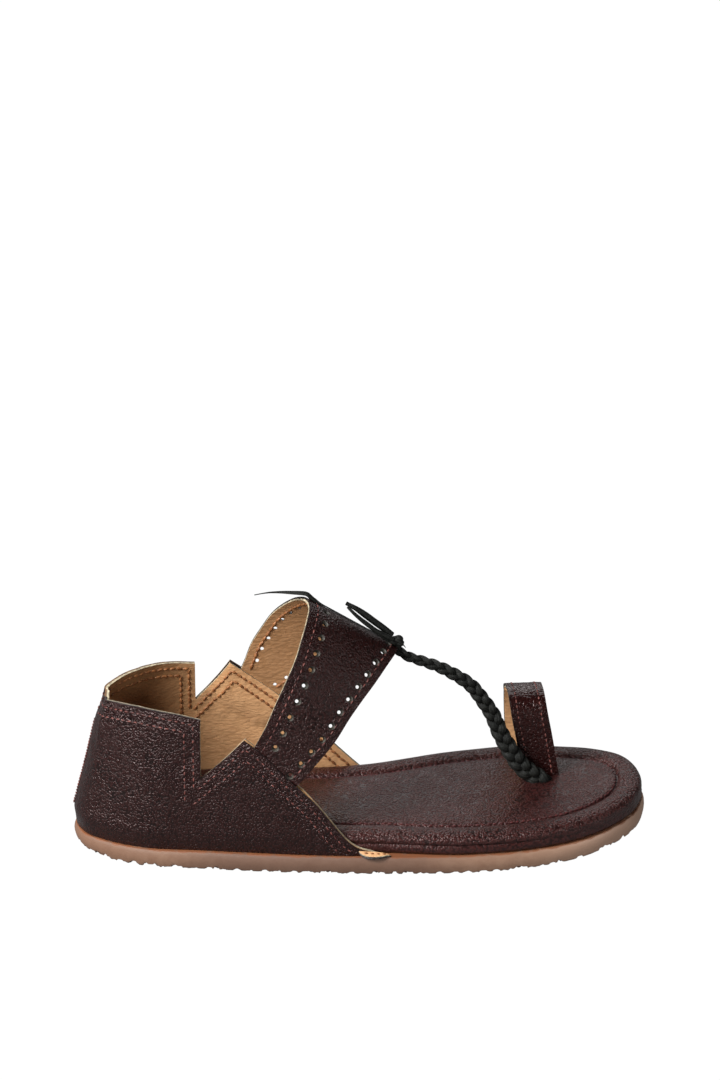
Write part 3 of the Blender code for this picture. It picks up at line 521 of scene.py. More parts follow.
def leather(name, deep, lit, roughness, cells, depth, crease=0.5, stretch=(1.0, 1.0, 1.0)):
    """Grained leather: darker in its pores, with slow patches of tone and of gloss."""
    made = Finish(name, lit, roughness)
    made.shader.inputs["Specular Tint"].default_value = (1.0, 0.80, 0.78, 1.0)
    pulled = made.node("ShaderNodeMapping", {"Vector": made.place, "Scale": stretch}).outputs[0]
    grain = made.node("ShaderNodeGroup", {"Vector": pulled, "Cells per metre": cells, "Crease": crease},
                      node_tree=grain_tree)
    patches = made.noise(60.0, 3.0)
    tone = made.blend(made.ramp(grain.outputs["Shade"], 0.0, 0.8), deep, lit)
    shade = made.ramp(patches, 0.30, 0.70, 0.0, 0.45)
    made.tone = made.blend(shade, tone, tuple(0.80 * v for v in lit))
    made.colour(made.tone)
    made.rough(made.ramp(made.noise(140.0, 3.0), 0.3, 0.7, roughness - 0.05, roughness + 0.07))
    made.grain = grain.outputs["Height"]
    made.bump(made.grain, depth)
    return made


PAD_GRAIN = 0.00032
pad_leather = leather("footbed_leather", (0.009, 0.0024, 0.0021), (0.056, 0.0158, 0.0140),
                      roughness=0.34, cells=900.0, depth=PAD_GRAIN, crease=0.4)
pad_smooth = pad_leather.ramp(pad_leather.along("Z"), 0.0130, 0.0175, 0.40, 1.0)
pad_leather.bump(pad_leather.maths("MULTIPLY", pad_leather.grain, pad_smooth), PAD_GRAIN)

pad_arcs = np.concatenate((np.linspace(0.0, TOE_ARC, PAD_STEPS + 1),
                           np.linspace(0.0, TOE_ARC - RIM_LENGTH, PAD_STEPS + 1)[-2:0:-1]))
fx, fy, fnx, fny = outline_at(pad_arcs)
pad_foot = MID_X + WING_FOOT * LENGTH
pad_back = lean(pad_arcs, np.full_like(pad_arcs, 0.0148)) + WALL + GAP
pad_in = pad_back + (0.0012 - pad_back) * soft_step(pad_foot - 0.004, pad_foot + 0.034, fx)
pad_rows = []
for inward, height in smooth_curve(PAD_SIDE, 4):
    z = np.full_like(fx, SOLE_EDGE + GAP + height * PAD_RISE)
    toe_end = soft_step(0.055, 0.095, fx)
    depth = pad_in + (inward - 0.076 * math.exp(-((height - 0.49) / 0.060) ** 2) * toe_end) * PAD_RISE
    covered = np.maximum(depth, lean(pad_arcs, z) + WALL + GAP)
    depth = np.where(fx < pad_foot + 0.003, covered, depth)
    open_side = soft_step(pad_foot + 0.002, pad_foot + 0.010, fx)
    run = np.stack((pad_arcs / 0.0011, z / 0.0040, np.zeros_like(z)), axis=1)
    fine = ripple(run, 1.0, 3.7)
    coarse = ripple(run, 3.1, 9.2)
    crease = math.exp(-((height - 0.49) / 0.085) ** 2)
    wrinkle = 0.00011 * crease * (fine + 0.5 * coarse) * open_side * (1.0 - 0.8 * toe_end)
    pleat = 0.00026 * (1.0 - float(soft_step(0.18, 0.55, height))) * fine * toe_end
    middle = float(soft_step(0.15, 0.5, height)) * (1.0 - float(soft_step(0.8, 1.0, height)))
    buckle = 0.00010 * coarse * open_side * middle
    depth = depth - wrinkle - pleat - buckle
    pad_rows.append(np.stack((fx - fnx * depth, fy - fny * depth, z + toe_spring(fx - fnx * depth)), axis=1))
pad_points = np.vstack(pad_rows)
pad_ring = 2 * PAD_STEPS
pad_faces = quads(len(pad_rows), pad_ring, around=True)
extra, cap = strip_cap(pad_points, 0, PAD_STEPS, 4, lambda point, share: point)
pad_points = np.vstack((pad_points, extra))
pad_faces += cap
SLITS = ((0.3289 * LENGTH, 0.078 * WIDTH, 0.0010), (0.3086 * LENGTH, 0.4345 * WIDTH, 0.0006))


def pad_dent(x, y):
    """Dip of the leather round the slits of the toe loop and the plait."""
    dip = 0.0
    for sx0, sy0, deep in SLITS:
        dip = dip + deep * np.exp(-((x - sx0) ** 2 / 0.0085**2 + (y - sy0) ** 2 / 0.0055**2))
    return dip


def pad_top(point, share):
    heel = 1.0 - float(soft_step(-0.070, -0.020, point[0]))
    ball = float(soft_step(0.000, 0.060, point[0]))
    hollow = (0.0010 * heel + 0.0005 * ball - 0.0004) * 4.0 * share * (1.0 - share)
    edge_rise = 0.0005 * (1.0 - math.exp(-min(share, 1.0 - share) / 0.045))
    soft = 0.00016 * noise.noise(Vector((point[0] / 0.016, point[1] / 0.011, 0.3)))
    inner = min(1.0, 8.0 * share * (1.0 - share))
    lift = edge_rise - hollow + soft * inner - pad_dent(point[0], point[1])
    return np.array((point[0], point[1], point[2] + lift))


top_first = (len(pad_rows) - 1) * pad_ring
extra, cap = strip_cap(pad_points, top_first, PAD_STEPS, 34, pad_top)
pad_points = np.vstack((pad_points, extra))
pad_faces += cap
pad = new_piece("padded_footbed", pad_points, pad_faces, [pad_leather.material], 60.0)
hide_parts("footbed")

# Thread: waxed thread that stands a little proud of the leather, one pad for each stitch that
# shows. It is dark red in the footbed's groove, dull red outside and brown on the linings.
stitch_random = np.random.RandomState(7)


def thread(name, dark, pale):
    made = Finish(name, pale, 0.48)
    made.colour(made.blend(made.ramp(made.noise(520.0, 2.0), 0.35, 0.65), dark, pale))
    made.bump(made.noise(5200.0, 2.0), 0.00005)
    return made


bed_thread = thread("bed_thread", (0.050, 0.008, 0.009), (0.105, 0.018, 0.017))
outer_thread = thread("outer_thread", (0.060, 0.015, 0.013), (0.235, 0.074, 0.060))
lining_thread = thread("lining_thread", (0.210, 0.075, 0.022), (0.400, 0.165, 0.060))

bpy.ops.mesh.primitive_uv_sphere_add(segments=8, ring_count=6, radius=0.5, location=(0.0, 0.0, 0.0))
stitch_form = bpy.context.object
bpy.ops.object.mode_set(mode="EDIT")
bpy.ops.mesh.select_all(action="SELECT")
bpy.ops.transform.rotate(value=math.radians(90.0), orient_axis="Y", center_override=(0.0, 0.0, 0.0))
bpy.ops.object.mode_set(mode="OBJECT")
stitch_points = np.array([v.co for v in stitch_form.data.vertices])
stitch_points[:, 1:] *= (1.0 + 0.25 * (1.0 - (2.0 * np.abs(stitch_points[:, :1])) ** 2))
stitch_faces = [tuple(f.vertices) for f in stitch_form.data.polygons]
bpy.data.objects.remove(stitch_form, do_unlink=True)


def sew(name, rows, finish, pitch, long, wide, tall, sink=0.15, turn=6.0):
    """Stitches along rows, each row its points and the outward directions of the leather there.

    The stitches are sunk by a share of their height and turned at random by up to some degrees.
    """
    points = []
    faces = []
    for line, out in rows:
        if len(line) < 2:
            continue
        along = lengths_along(line)
        count = max(1, int(round(along[-1] / pitch)))
        places = (np.arange(count) + 0.5) * along[-1] / count
        ahead = 0.45 * long
        for s in places:
            here = np.array([np.interp(s, along, line[:, k]) for k in range(3)])
            front = np.array([np.interp(s + ahead, along, line[:, k]) for k in range(3)])
            rear = np.array([np.interp(s - ahead, along, line[:, k]) for k in range(3)])
            up = np.array([np.interp(s, along, out[:, k]) for k in range(3)])
            forward = front - rear
            forward /= np.linalg.norm(forward)
            up -= forward * np.dot(forward, up)
            up /= np.linalg.norm(up)
            side = np.cross(up, forward)
            angle = math.radians(turn) * stitch_random.uniform(-1.0, 1.0)
            a = forward * math.cos(angle) + side * math.sin(angle)
            b = side * math.cos(angle) - forward * math.sin(angle)
            size = 1.0 + 0.14 * stitch_random.uniform(-1.0, 1.0)
            body = stitch_points[:, :1] * a * long * size + stitch_points[:, 1:2] * b * wide
            body = body + stitch_points[:, 2:3] * up * tall
            first = len(points)
            points.extend(here + up * tall * (0.5 - sink - 0.35) + body)
            faces.extend(tuple(first + k for k in face) for face in stitch_faces)
    return new_piece(name, points, faces, [finish.material], 80.0, repair=False)


groove = pad_rows[-2] * 0.35 + pad_rows[-1] * 0.65
seam_line = np.vstack((groove, groove[:1]))
up_line = np.zeros_like(seam_line)
up_line[:, 2] = 1.0
sew("footbed_stitches", [(seam_line + np.array((0.0, 0.0, 0.00002)), up_line)], bed_thread,
    pitch=0.0026, long=0.0019, wide=0.00070, tall=0.00060)

# Quarter: brown leather cut with a notch on each side and drawn in over the foot. It is lined
# with tan leather whose raw edge stays pale, and two rows of stitches hold the two together.
QUARTER_SKIN = 0.00088
COLLAR = (
    (-0.504, 0.617, 0.617), (-0.480, 0.630, 0.636), (-0.428, 0.645, 0.655),
    (-0.378, 0.648, 0.658), (-0.332, 0.641, 0.654), (-0.286, 0.620, 0.640),
)
LATERAL_WING = (
    (-0.286, 0.384), (-0.260, 0.438), (-0.235, 0.493), (-0.2120, 0.548), (-0.1950, 0.519),
    (-0.1786, 0.489), (-0.1522, 0.430), (-0.1239, 0.369), (-0.0909, 0.298), (-0.0691, 0.237),
    (-0.0489, 0.176), (-0.0318, 0.133), (-0.0148, 0.107), (0.0039, 0.0955),
)
MEDIAL_WING = (
    (-0.286, 0.472), (-0.260, 0.530), (-0.240, 0.583), (-0.2215, 0.640), (-0.197, 0.597),
    (-0.168, 0.544), (-0.135, 0.482), (-0.100, 0.395), (-0.064, 0.306), (-0.026, 0.212), (0.010, 0.125),
)
HEEL_FOLDS = ((-0.1120, 0.0165, 0.0075), (-0.1060, 0.0192, 0.0050), (-0.1155, 0.0205, 0.0040))
FOOT_Z = SOLE_EDGE + GAP
notch_arc = {side: arc_of(side, MID_X - 0.286 * LENGTH) for side in (1, -1)}
notch_z = {1: 0.384 * HEIGHT, -1: 0.472 * HEIGHT}


def quarter_relief(arcs, heights):
    """Slow swell of the leather, and the puckers where it is lasted over the heel."""
    x, y, nx, ny = outline_at(arcs)
    at = np.stack((x, y, np.asarray(heights)), axis=-1)
    swell = 0.00026 * ripple(at, 0.013, 2.0) + 0.00012 * ripple(at, 0.0055, 5.0)
    low = 1.0 - soft_step(0.014, 0.026, heights)
    run = np.stack((np.asarray(arcs) / 0.0024, np.asarray(heights) / 0.012, np.zeros_like(heights)), axis=-1)
    pucker = 0.00016 * ripple(run, 1.0, 1.1) * low
    fold = np.zeros_like(pucker)
    for fold_x, fold_z, fold_long in HEEL_FOLDS:
        across = np.asarray(heights) - fold_z + 0.28 * (x - fold_x)
        fold = fold + 0.00050 * np.exp(-((x - fold_x) / fold_long) ** 2 - (across / 0.0010) ** 2) * (ny < 0.0)
    seam = -0.00035 * np.exp(-(np.asarray(arcs) / 0.0007) ** 2) * soft_step(0.016, 0.022, heights)
    return swell + pucker + fold + seam


def quarter_place(arcs, heights, inward=0.0, relief=True):
    """Points of the quarter's outer face, or of a layer inside it."""
    arcs = np.asarray(arcs, float)
    heights = np.asarray(heights, float)
    x, y, nx, ny = outline_at(arcs)
    depth = lean(arcs, heights) + inward
    if relief:
        depth = depth - quarter_relief(arcs, heights)
    return np.stack((x - nx * depth, y - ny * depth, heights), axis=-1)


def quarter_out(arcs, heights):
    """Outward direction of the quarter."""
    step = 0.0008
    a = quarter_place(arcs + step, heights, relief=False) - quarter_place(arcs - step, heights, relief=False)
    b = quarter_place(arcs, heights + step, relief=False) - quarter_place(arcs, heights - step, relief=False)
    out = np.cross(a, b)
    out /= np.linalg.norm(out, axis=-1)[..., None]
    x, y, nx, ny = outline_at(arcs)
    flip = np.sign(out[..., 0] * nx + out[..., 1] * ny)
    return out * flip[..., None]


wing_edge = {}
for side, wing, peak in ((1, LATERAL_WING, 3), (-1, MEDIAL_WING, 3)):
    rows = np.array([(MID_X + a * LENGTH, h * HEIGHT) for a, h in wing])
    rise = evenly(smooth_curve(rows[:peak + 1], 6), 26)
    fall = evenly(smooth_curve(rows[peak:], 6), 84)
    both = np.vstack((rise, fall[1:]))
    wing_edge[side] = np.array([(arc_of(side, x), z) for x, z in both])
collar_knots = []
for side in (1, -1):
    for a, lateral, medial in (COLLAR[::-1] if side > 0 else COLLAR[1:]):
        collar_knots.append((arc_of(side, MID_X + a * LENGTH), (lateral if side > 0 else medial) * HEIGHT))
collar_line = smooth_curve(collar_knots, 10)
collar_line = evenly(collar_line, 150)
PEAK = 26

sheet_keys = {}
sheet_points = []
sheet_faces = []


def sheet_part(columns):
    """Adds faces between columns of (arc, height) points, shared where they meet."""
    numbers = []
    for column in columns:
        row = []
        for arc, z in column:
            key = (round(float(arc), 6), round(float(z), 6))
            if key not in sheet_keys:
                sheet_keys[key] = len(sheet_points)
                sheet_points.append((float(arc), float(z)))
            row.append(sheet_keys[key])
        numbers.append(row)
    for left, right in zip(numbers[:-1], numbers[1:]):
        for k in range(len(left) - 1):
            face = []
            for corner in (left[k], right[k], right[k + 1], left[k + 1]):
                if corner not in face:
                    face.append(corner)
            if len(face) > 2:
                sheet_faces.append(tuple(face))


low_shares = np.linspace(0.0, 1.0, 27)
high_shares = np.linspace(0.0, 1.0, 25)
low_part = []
high_part = []
for arc, top in collar_line:
    share = (notch_arc[1] - arc) / (notch_arc[1] - notch_arc[-1])
    middle = notch_z[1] + (notch_z[-1] - notch_z[1]) * share
    low_part.append([(arc, FOOT_Z + (middle - FOOT_Z) * f) for f in low_shares])
    high_part.append([(arc, middle + (top - middle) * f) for f in high_shares])
sheet_part(low_part)
sheet_part(high_part)
for side in (1, -1):
    foot_arc = arc_of(side, MID_X + WING_FOOT * LENGTH)
    line = wing_edge[side]
    lead_from = arc_of(side, MID_X + (-0.0148 if side > 0 else -0.020) * LENGTH)
    low_part = []
    high_part = []
    for index, (arc, top) in enumerate(line):
        share = (arc - notch_arc[side]) / (foot_arc - notch_arc[side])
        middle = FOOT_Z + (notch_z[side] - FOOT_Z) * (1.0 - share) ** 1.15
        if index:
            middle = min(middle, FOOT_Z + 0.62 * (top - FOOT_Z)) if top > FOOT_Z else FOOT_Z
        else:
            middle = notch_z[side]
        ramp = np.clip((arc - lead_from) / (line[-1, 0] - lead_from), 0.0, 1.0)
        lead = (foot_arc - line[-1, 0]) * ramp
        low = []
        for f in low_shares:
            z = FOOT_Z + (middle - FOOT_Z) * f
            low.append((arc + lead * (1.0 - (z - FOOT_Z) / (top - FOOT_Z)), z))
        high = []
        for f in high_shares:
            z = middle + (top - middle) * f
            high.append((arc + lead * (1.0 - (z - FOOT_Z) / (top - FOOT_Z)), z))
        low_part.append(low)
        high_part.append(high)
    if side > 0:
        low_part.reverse()
        high_part.reverse()
    sheet_part(low_part)
    sheet_part(high_part)
sheet_at = np.array(sheet_points)
sheet_arc = sheet_at[:, 0]
sheet_z = sheet_at[:, 1]

free_edge = np.vstack((wing_edge[1][::-1], collar_line, wing_edge[-1]))
free_edge_3d = quarter_place(free_edge[:, 0], free_edge[:, 1], relief=False)
sheet_3d = quarter_place(sheet_arc, sheet_z, relief=False)
hem = np.full(len(sheet_3d), 1.0)
for part in range(0, len(sheet_3d), 2000):
    block = sheet_3d[part:part + 2000]
    hem[part:part + 2000] = np.sqrt(((block[:, None, :] - free_edge_3d[None]) ** 2).sum(-1)).min(1)


def soften(thing, width):
    """Rounds the sharp edges of a piece by a small width, or only shades it."""
    if width:
        work(thing, "BEVEL", width=width, segments=2, limit_method="ANGLE", angle_limit=math.radians(55.0))
    hold(thing)
    bpy.ops.object.shade_smooth_by_angle(angle=math.radians(40.0))


def two_faced(name, outer, inner, faces, finishes, rounding):
    """Closed sheet of leather: outer face, inner face and the cut edge between them."""
    shift = len(outer)
    all_faces = list(faces) + [tuple(shift + k for k in face[::-1]) for face in faces]
    picks = [0] * len(faces) + [1] * len(faces)
    used = set()
    for face in faces:
        used.update(zip(face, face[1:] + face[:1]))
    for a, b in used:
        if (b, a) not in used:
            all_faces.append((b, a, shift + a, shift + b))
            picks.append(2)
    order = {}
    kept = []
    for finish in finishes:
        if finish.material.name not in order:
            order[finish.material.name] = len(kept)
            kept.append(finish.material)
    picks = [order[finishes[k].material.name] for k in picks]
    thing = new_piece(name, list(outer) + list(inner), all_faces, kept, picks=picks, repair=False)
    hold(thing)
    bpy.ops.object.mode_set(mode="EDIT")
    bpy.ops.mesh.select_all(action="SELECT")
    bpy.ops.mesh.normals_make_consistent(inside=False)
    bpy.ops.object.mode_set(mode="OBJECT")
    soften(thing, rounding)
    return thing


UPPER_GRAIN = 0.00022
RUBBED_PLACE = (-0.095, -0.034, 0.058)
upper_leather = leather("upper_leather", (0.003, 0.0007, 0.0006), (0.021, 0.0044, 0.0037),
                        roughness=0.34, cells=1080.0, depth=UPPER_GRAIN, crease=0.35)
hem_value = upper_leather.kept("hem")
hem_zone = upper_leather.maths("MULTIPLY", upper_leather.ramp(hem_value, 0.0002, 0.0024),
                               upper_leather.ramp(hem_value, 0.0076, 0.0105, 1.0, 0.0))
rubbed = upper_leather.node("ShaderNodeVectorMath", {0: upper_leather.place, 1: RUBBED_PLACE},
                            operation="DISTANCE")
rub_zone = upper_leather.ramp(rubbed.outputs["Value"], 0.004, 0.026, 1.6, 0.0)
shine = upper_leather.maths("ADD", hem_zone, rub_zone)
pucker = upper_leather.maths("MULTIPLY", upper_leather.noise(420.0, 2.0),
                             upper_leather.maths("MULTIPLY", hem_zone, 1.6))
deeper = upper_leather.maths("ADD", upper_leather.maths("MULTIPLY", shine, 0.4), 1.0)
deeper = upper_leather.maths("MULTIPLY", upper_leather.grain, deeper)
upper_leather.bump(upper_leather.maths("ADD", deeper, pucker), UPPER_GRAIN)
upper_gloss = upper_leather.ramp(upper_leather.noise(140.0, 3.0), 0.3, 0.7, 0.25, 0.35)
upper_leather.rough(upper_leather.maths("SUBTRACT", upper_gloss,
                                        upper_leather.maths("MULTIPLY", shine, 0.09)))

tan_lining = leather("tan_lining", (0.690, 0.375, 0.172), (0.790, 0.445, 0.215),
                     roughness=0.52, cells=420.0, depth=0.00010, crease=2.2, stretch=(1.0, 1.0, 2.2))
# Painted shade: the lining darkens towards the heel, inside the back of the quarter.
tan_heel_shade = tan_lining.ramp(tan_lining.along("X"), -0.092, -0.062, 0.80, 0.0)
tan_lining.colour(tan_lining.blend(tan_heel_shade, tan_lining.tone, (0.240, 0.105, 0.038)))


def edge_finish(name, colour, roughness, spots, low, dark, pale, depth):
    """Cut edge of leather or lining: spotted between two tones, with a fibrous surface."""
    made = Finish(name, colour, roughness)
    made.colour(made.blend(made.ramp(made.noise(spots, 3.0), low, 1.0 - low), dark, pale))
    made.bump(made.noise(2600.0, 3.0), depth)
    return made


cut_edge = edge_finish("cut_edge", (0.50, 0.40, 0.25), 0.75, 700.0, 0.3, (0.26, 0.22, 0.15),
                       (0.66, 0.56, 0.38), 0.00010)
raw_edge = edge_finish("raw_edge", (0.17, 0.09, 0.045), 0.8, 900.0, 0.3, (0.070, 0.034, 0.018),
                       (0.230, 0.125, 0.062), 0.00008)
dark_edge = edge_finish("dark_edge", (0.020, 0.011, 0.010), 0.5, 900.0, 0.3, (0.010, 0.006, 0.006),
                        (0.040, 0.026, 0.022), 0.00008)

# Course of the band from its outer to its inner foot: x, y and z of its back edge, then of its front edge,
# as shares of the length, width and height. None stands for a place on the quarter's face.
BAND = (
    (-0.2080, None, 0.435, -0.1468, None, 0.304), (-0.1975, None, 0.483, -0.1328, None, 0.339),
    (-0.1849, None, 0.537, -0.1178, None, 0.372), (-0.1702, -0.359, 0.599, -0.0874, -0.387, 0.443),
    (-0.1510, -0.328, 0.686, -0.0482, -0.339, 0.537), (-0.1318, -0.289, 0.766, -0.0259, -0.289, 0.600),
    (-0.1146, -0.233, 0.834, -0.0035, -0.233, 0.651), (-0.1000, -0.156, 0.905, 0.0196, -0.167, 0.695),
    (-0.0895, -0.072, 0.950, 0.0423, -0.089, 0.737), (-0.0842, 0.022, 0.972, 0.0622, 0.006, 0.762),
    (-0.0895, 0.100, 0.973, 0.0678, 0.089, 0.755), (-0.1028, 0.161, 0.955, 0.0563, 0.156, 0.732),
    (-0.1244, 0.222, 0.911, 0.0311, 0.217, 0.698), (-0.1457, 0.267, 0.854, -0.0038, 0.262, 0.656),
    (-0.1650, 0.291, 0.783, -0.0426, 0.292, 0.609), (-0.1824, 0.302, 0.714, -0.0853, 0.303, 0.559),
    (-0.1964, None, 0.635, -0.1223, None, 0.513), (-0.2076, None, 0.574, -0.1437, None, 0.470),
    (-0.2174, None, 0.522, -0.1632, None, 0.422),
)
BAND_TUCK = 0.0009
BAND_WALL = 0.0018
BAND_ROWS = 170
BAND_COLUMNS = 40
back_knots = []
front_knots = []
for index, row in enumerate(BAND):
    side = 1 if index < len(BAND) / 2 else -1
    for knots, (x, y, z) in ((back_knots, row[:3]), (front_knots, row[3:])):
        x = x * LENGTH
        z = z * HEIGHT
        across = float(quarter_place(arc_of(side, x), z, BAND_TUCK, False)[1]) if y is None else y * WIDTH
        knots.append((x, across, z))
back_line = evenly(smooth_curve(back_knots, 12), BAND_ROWS)
front_line = evenly(smooth_curve(front_knots, 12), BAND_ROWS)


def band_edges(s):
    """Back and front edge of the band at shares from its outer foot to its inner foot."""
    at = np.linspace(0.0, 1.0, BAND_ROWS + 1)
    back = np.stack([np.interp(s, at, back_line[:, k]) for k in range(3)], axis=-1)
    front = np.stack([np.interp(s, at, front_line[:, k]) for k in range(3)], axis=-1)
    return back, front


def band_out(s, t):
    """Outward direction of the band."""
    lower = band_edges(np.maximum(s - 0.02, 0.0))
    upper = band_edges(np.minimum(s + 0.02, 1.0))
    t = np.asarray(t, float)[..., None]
    along = upper[0] + (upper[1] - upper[0]) * t - lower[0] - (lower[1] - lower[0]) * t
    back, front = band_edges(s)
    out = np.cross(front - back, along)
    return out / np.linalg.norm(out, axis=-1)[..., None]


def band_place(s, t, inward=0.0):
    """Points of the band's outer face, or of a layer inside it."""
    s = np.asarray(s, float)
    t = np.asarray(t, float)
    back, front = band_edges(s)
    flat = back + (front - back) * t[..., None]
    arch = soft_step(0.10, 0.25, s) * (1.0 - soft_step(0.75, 0.90, s))
    free = soft_step(0.05, 0.2, s) * (1.0 - soft_step(0.8, 0.95, s))
    crown = 0.0004 * (1.0 - (2.0 * t - 1.0) ** 2) * arch + 0.00014 * ripple(flat, 0.012, 7.0) * free
    return flat + band_out(s, t) * (crown - inward)[..., None]


tuck_s = np.concatenate((np.linspace(0.0, 0.115, 14), np.linspace(0.885, 1.0, 14)))
tuck_grid = np.array([band_place(np.full(12, s), np.linspace(0.0, 1.0, 12)) for s in tuck_s]).reshape(-1, 3)
tuck_gap = np.sqrt(((sheet_3d[:, None, :] - tuck_grid[None]) ** 2).sum(-1)).min(1)
tucked = 1.0 - soft_step(0.0030, 0.0140, tuck_gap)
TUCK_DEEP = 0.00285 - QUARTER_SKIN

skin_out = quarter_place(sheet_arc, sheet_z, -0.00018 * tucked)
skin_in = quarter_place(sheet_arc, sheet_z, QUARTER_SKIN - 0.00018 * tucked)
quarter = two_faced("quarter_leather", skin_out, skin_in, sheet_faces, [upper_leather, dark_edge, raw_edge],
                    0.0)
for face in quarter.data.polygons:
    if face.material_index == 2 and face.center.y < 0.0:
        face.material_index = 1
keep_number(quarter, "hem", np.concatenate((hem, hem)))
soften(quarter, 0.00022)
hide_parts("upper")

lining_out = QUARTER_SKIN + 0.00004 + TUCK_DEEP * tucked
lining_in = np.maximum(WALL, lining_out + 0.00085)
lining_drop = 0.00045 * soft_step(-0.020, 0.010, sheet_arc)
lining_drop = lining_drop * (1.0 - 1.4 * soft_step(-0.048, -0.015, outline_at(sheet_arc)[0]))
lining_drop = lining_drop * soft_step(FOOT_Z + 0.0005, FOOT_Z + 0.003, sheet_z)
lining_z = sheet_z - lining_drop * np.exp(-hem / 0.0030)
two_faced("quarter_lining", quarter_place(sheet_arc, lining_z, lining_out),
          quarter_place(sheet_arc, lining_z, lining_in), sheet_faces, [tan_lining, tan_lining, cut_edge],
          0.0002)


def hem_rows(offset):
    """Rows of stitches at one distance inside the free edge, one for each straight run of it."""
    runs = [wing_edge[1][PEAK:][::-1], wing_edge[1][:PEAK + 1][::-1],
            np.array([(notch_arc[1], z) for z in np.linspace(notch_z[1], collar_line[0, 1], 30)]),
            collar_line,
            np.array([(notch_arc[-1], z) for z in np.linspace(collar_line[-1, 1], notch_z[-1], 30)]),
            wing_edge[-1][:PEAK + 1], wing_edge[-1][PEAK:]]
    moved = []
    for run in runs:
        step = np.gradient(run, axis=0)
        step /= np.linalg.norm(step, axis=1)[:, None]
        inward = np.stack((-step[:, 1], step[:, 0]), axis=1)
        line = run + inward * offset
        head = line[0] - step[0] * 1.6 * offset
        tail = line[-1] + step[-1] * 1.6 * offset
        moved.append(np.vstack((head, line, tail)))
    for k in range(len(moved) - 1):
        moved[k], moved[k + 1] = trimmed(moved[k], moved[k + 1])
    moved[0] = moved[0][moved[0][:, 1] > FOOT_Z + 0.0012]
    moved[-1] = moved[-1][moved[-1][:, 1] > FOOT_Z + 0.0012]
    return moved


def trimmed(first, second):
    """Two lines cut back to the point where they cross."""
    for i in range(len(first) - 2, -1, -1):
        for j in range(len(second) - 1):
            p = first[i]
            r = first[i + 1] - p
            q = second[j]
            s = second[j + 1] - q
            cross = r[0] * s[1] - r[1] * s[0]
            if abs(cross) < 1e-15:
                continue
            t = ((q[0] - p[0]) * s[1] - (q[1] - p[1]) * s[0]) / cross
            u = ((q[0] - p[0]) * r[1] - (q[1] - p[1]) * r[0]) / cross
            if -1e-9 <= t <= 1.0 and -1e-9 <= u <= 1.0:
                meet = p + r * t
                return np.vstack((first[:i + 1], meet)), np.vstack((meet, second[j + 1:]))
    return first, second


outside_rows = []
inside_rows = []
for offset in (0.0029, 0.0068):
    for run in hem_rows(offset):
        arcs = run[:, 0]
        heights = run[:, 1]
        out = quarter_out(arcs, heights)
        outside_rows.append((quarter_place(arcs, heights, -0.00003), out))
        away = quarter_place(arcs, heights, relief=False)[:, None] - tuck_grid[None]
        bulge = 1.0 - soft_step(0.0030, 0.0140, np.sqrt((away ** 2).sum(-1)).min(1))
        deep = np.maximum(WALL, QUARTER_SKIN + 0.00089 + TUCK_DEEP * bulge)
        inside_rows.append((quarter_place(arcs, heights, deep + 0.00003), -out))
sew("quarter_stitches", outside_rows, outer_thread,
    pitch=0.0030, long=0.0018, wide=0.00058, tall=0.00052)
sew("lining_stitches", inside_rows, lining_thread,
    pitch=0.0030, long=0.0031, wide=0.00110, tall=0.00080, turn=15.0)
seam_z = np.linspace(0.0190, 0.617 * HEIGHT - 0.010, 60)
bars = []
for z in seam_z[::2]:
    arcs = np.linspace(-0.0016, 0.0016, 5)
    heights = np.full(5, z)
    bars.append((quarter_place(arcs, heights, -0.00010, False), quarter_out(arcs, heights)))
sew("back_seam_stitches", bars, outer_thread,
    pitch=0.0034, long=0.0026, wide=0.00055, tall=0.00060, sink=0.1)

TIP_FROM = -0.0040
TIP_LONG = 0.0140
TIP_TOP = ((-0.0040, 0.0119), (-0.0010, 0.0117), (0.0030, 0.0116), (0.0065, 0.0112), (0.0085, 0.0107),
           (0.0100, 0.0099))
TIP_LONG_STEPS = 29
TIP_WIDE_STEPS = 8
tip_u = np.linspace(0.0, 1.0, TIP_LONG_STEPS)
tip_v = np.linspace(0.0, 1.0, TIP_WIDE_STEPS)


def wing_tip(level, spread):
    """Points of the outer wing's tip, which curls out over the sole and shows its lining."""
    x = TIP_FROM + TIP_LONG * tip_u
    arcs = np.array([arc_of(1, place) for place in x])
    top = np.interp(x, *np.transpose(TIP_TOP))
    full = (np.sin(math.pi * tip_u ** 0.9) ** 0.7)[:, None] * spread
    ragged = 1.0 + 0.10 * np.sin(tip_u * 61.0) + 0.08 * np.sin(tip_u * 113.0 + 1.0)
    depth = 0.00145 - 0.00200 * full * tip_v * ragged[:, None] - level * 0.25
    z = top[:, None] + (0.0101 - top[:, None]) * np.minimum(full, 1.0) * tip_v ** 1.2 - level
    x, y, nx, ny = outline_at(arcs)
    grid = np.stack((x[:, None] - nx[:, None] * depth, y[:, None] - ny[:, None] * depth, z), axis=-1)
    return grid.reshape(-1, 3)


tip_quads = quads(TIP_LONG_STEPS, TIP_WIDE_STEPS)
two_faced("wing_tip_lining", wing_tip(0.0, 1.0), wing_tip(0.00045, 1.0), tip_quads,
          [tan_lining, tan_lining, cut_edge], 0.0001)
two_faced("wing_tip_leather", wing_tip(0.00050, 1.25), wing_tip(0.00095, 1.25), tip_quads,
          [dark_edge, dark_edge, dark_edge], 0.0001)
tip_row = wing_tip(-0.00003, 1.0)[3::TIP_WIDE_STEPS][4:-3]
tip_up = np.tile((0.0, -0.5, 1.0), (len(tip_row), 1))
sew("wing_tip_stitches", [(tip_row, tip_up)], lining_thread,
    pitch=0.0026, long=0.0017, wide=0.00070, tall=0.00055)

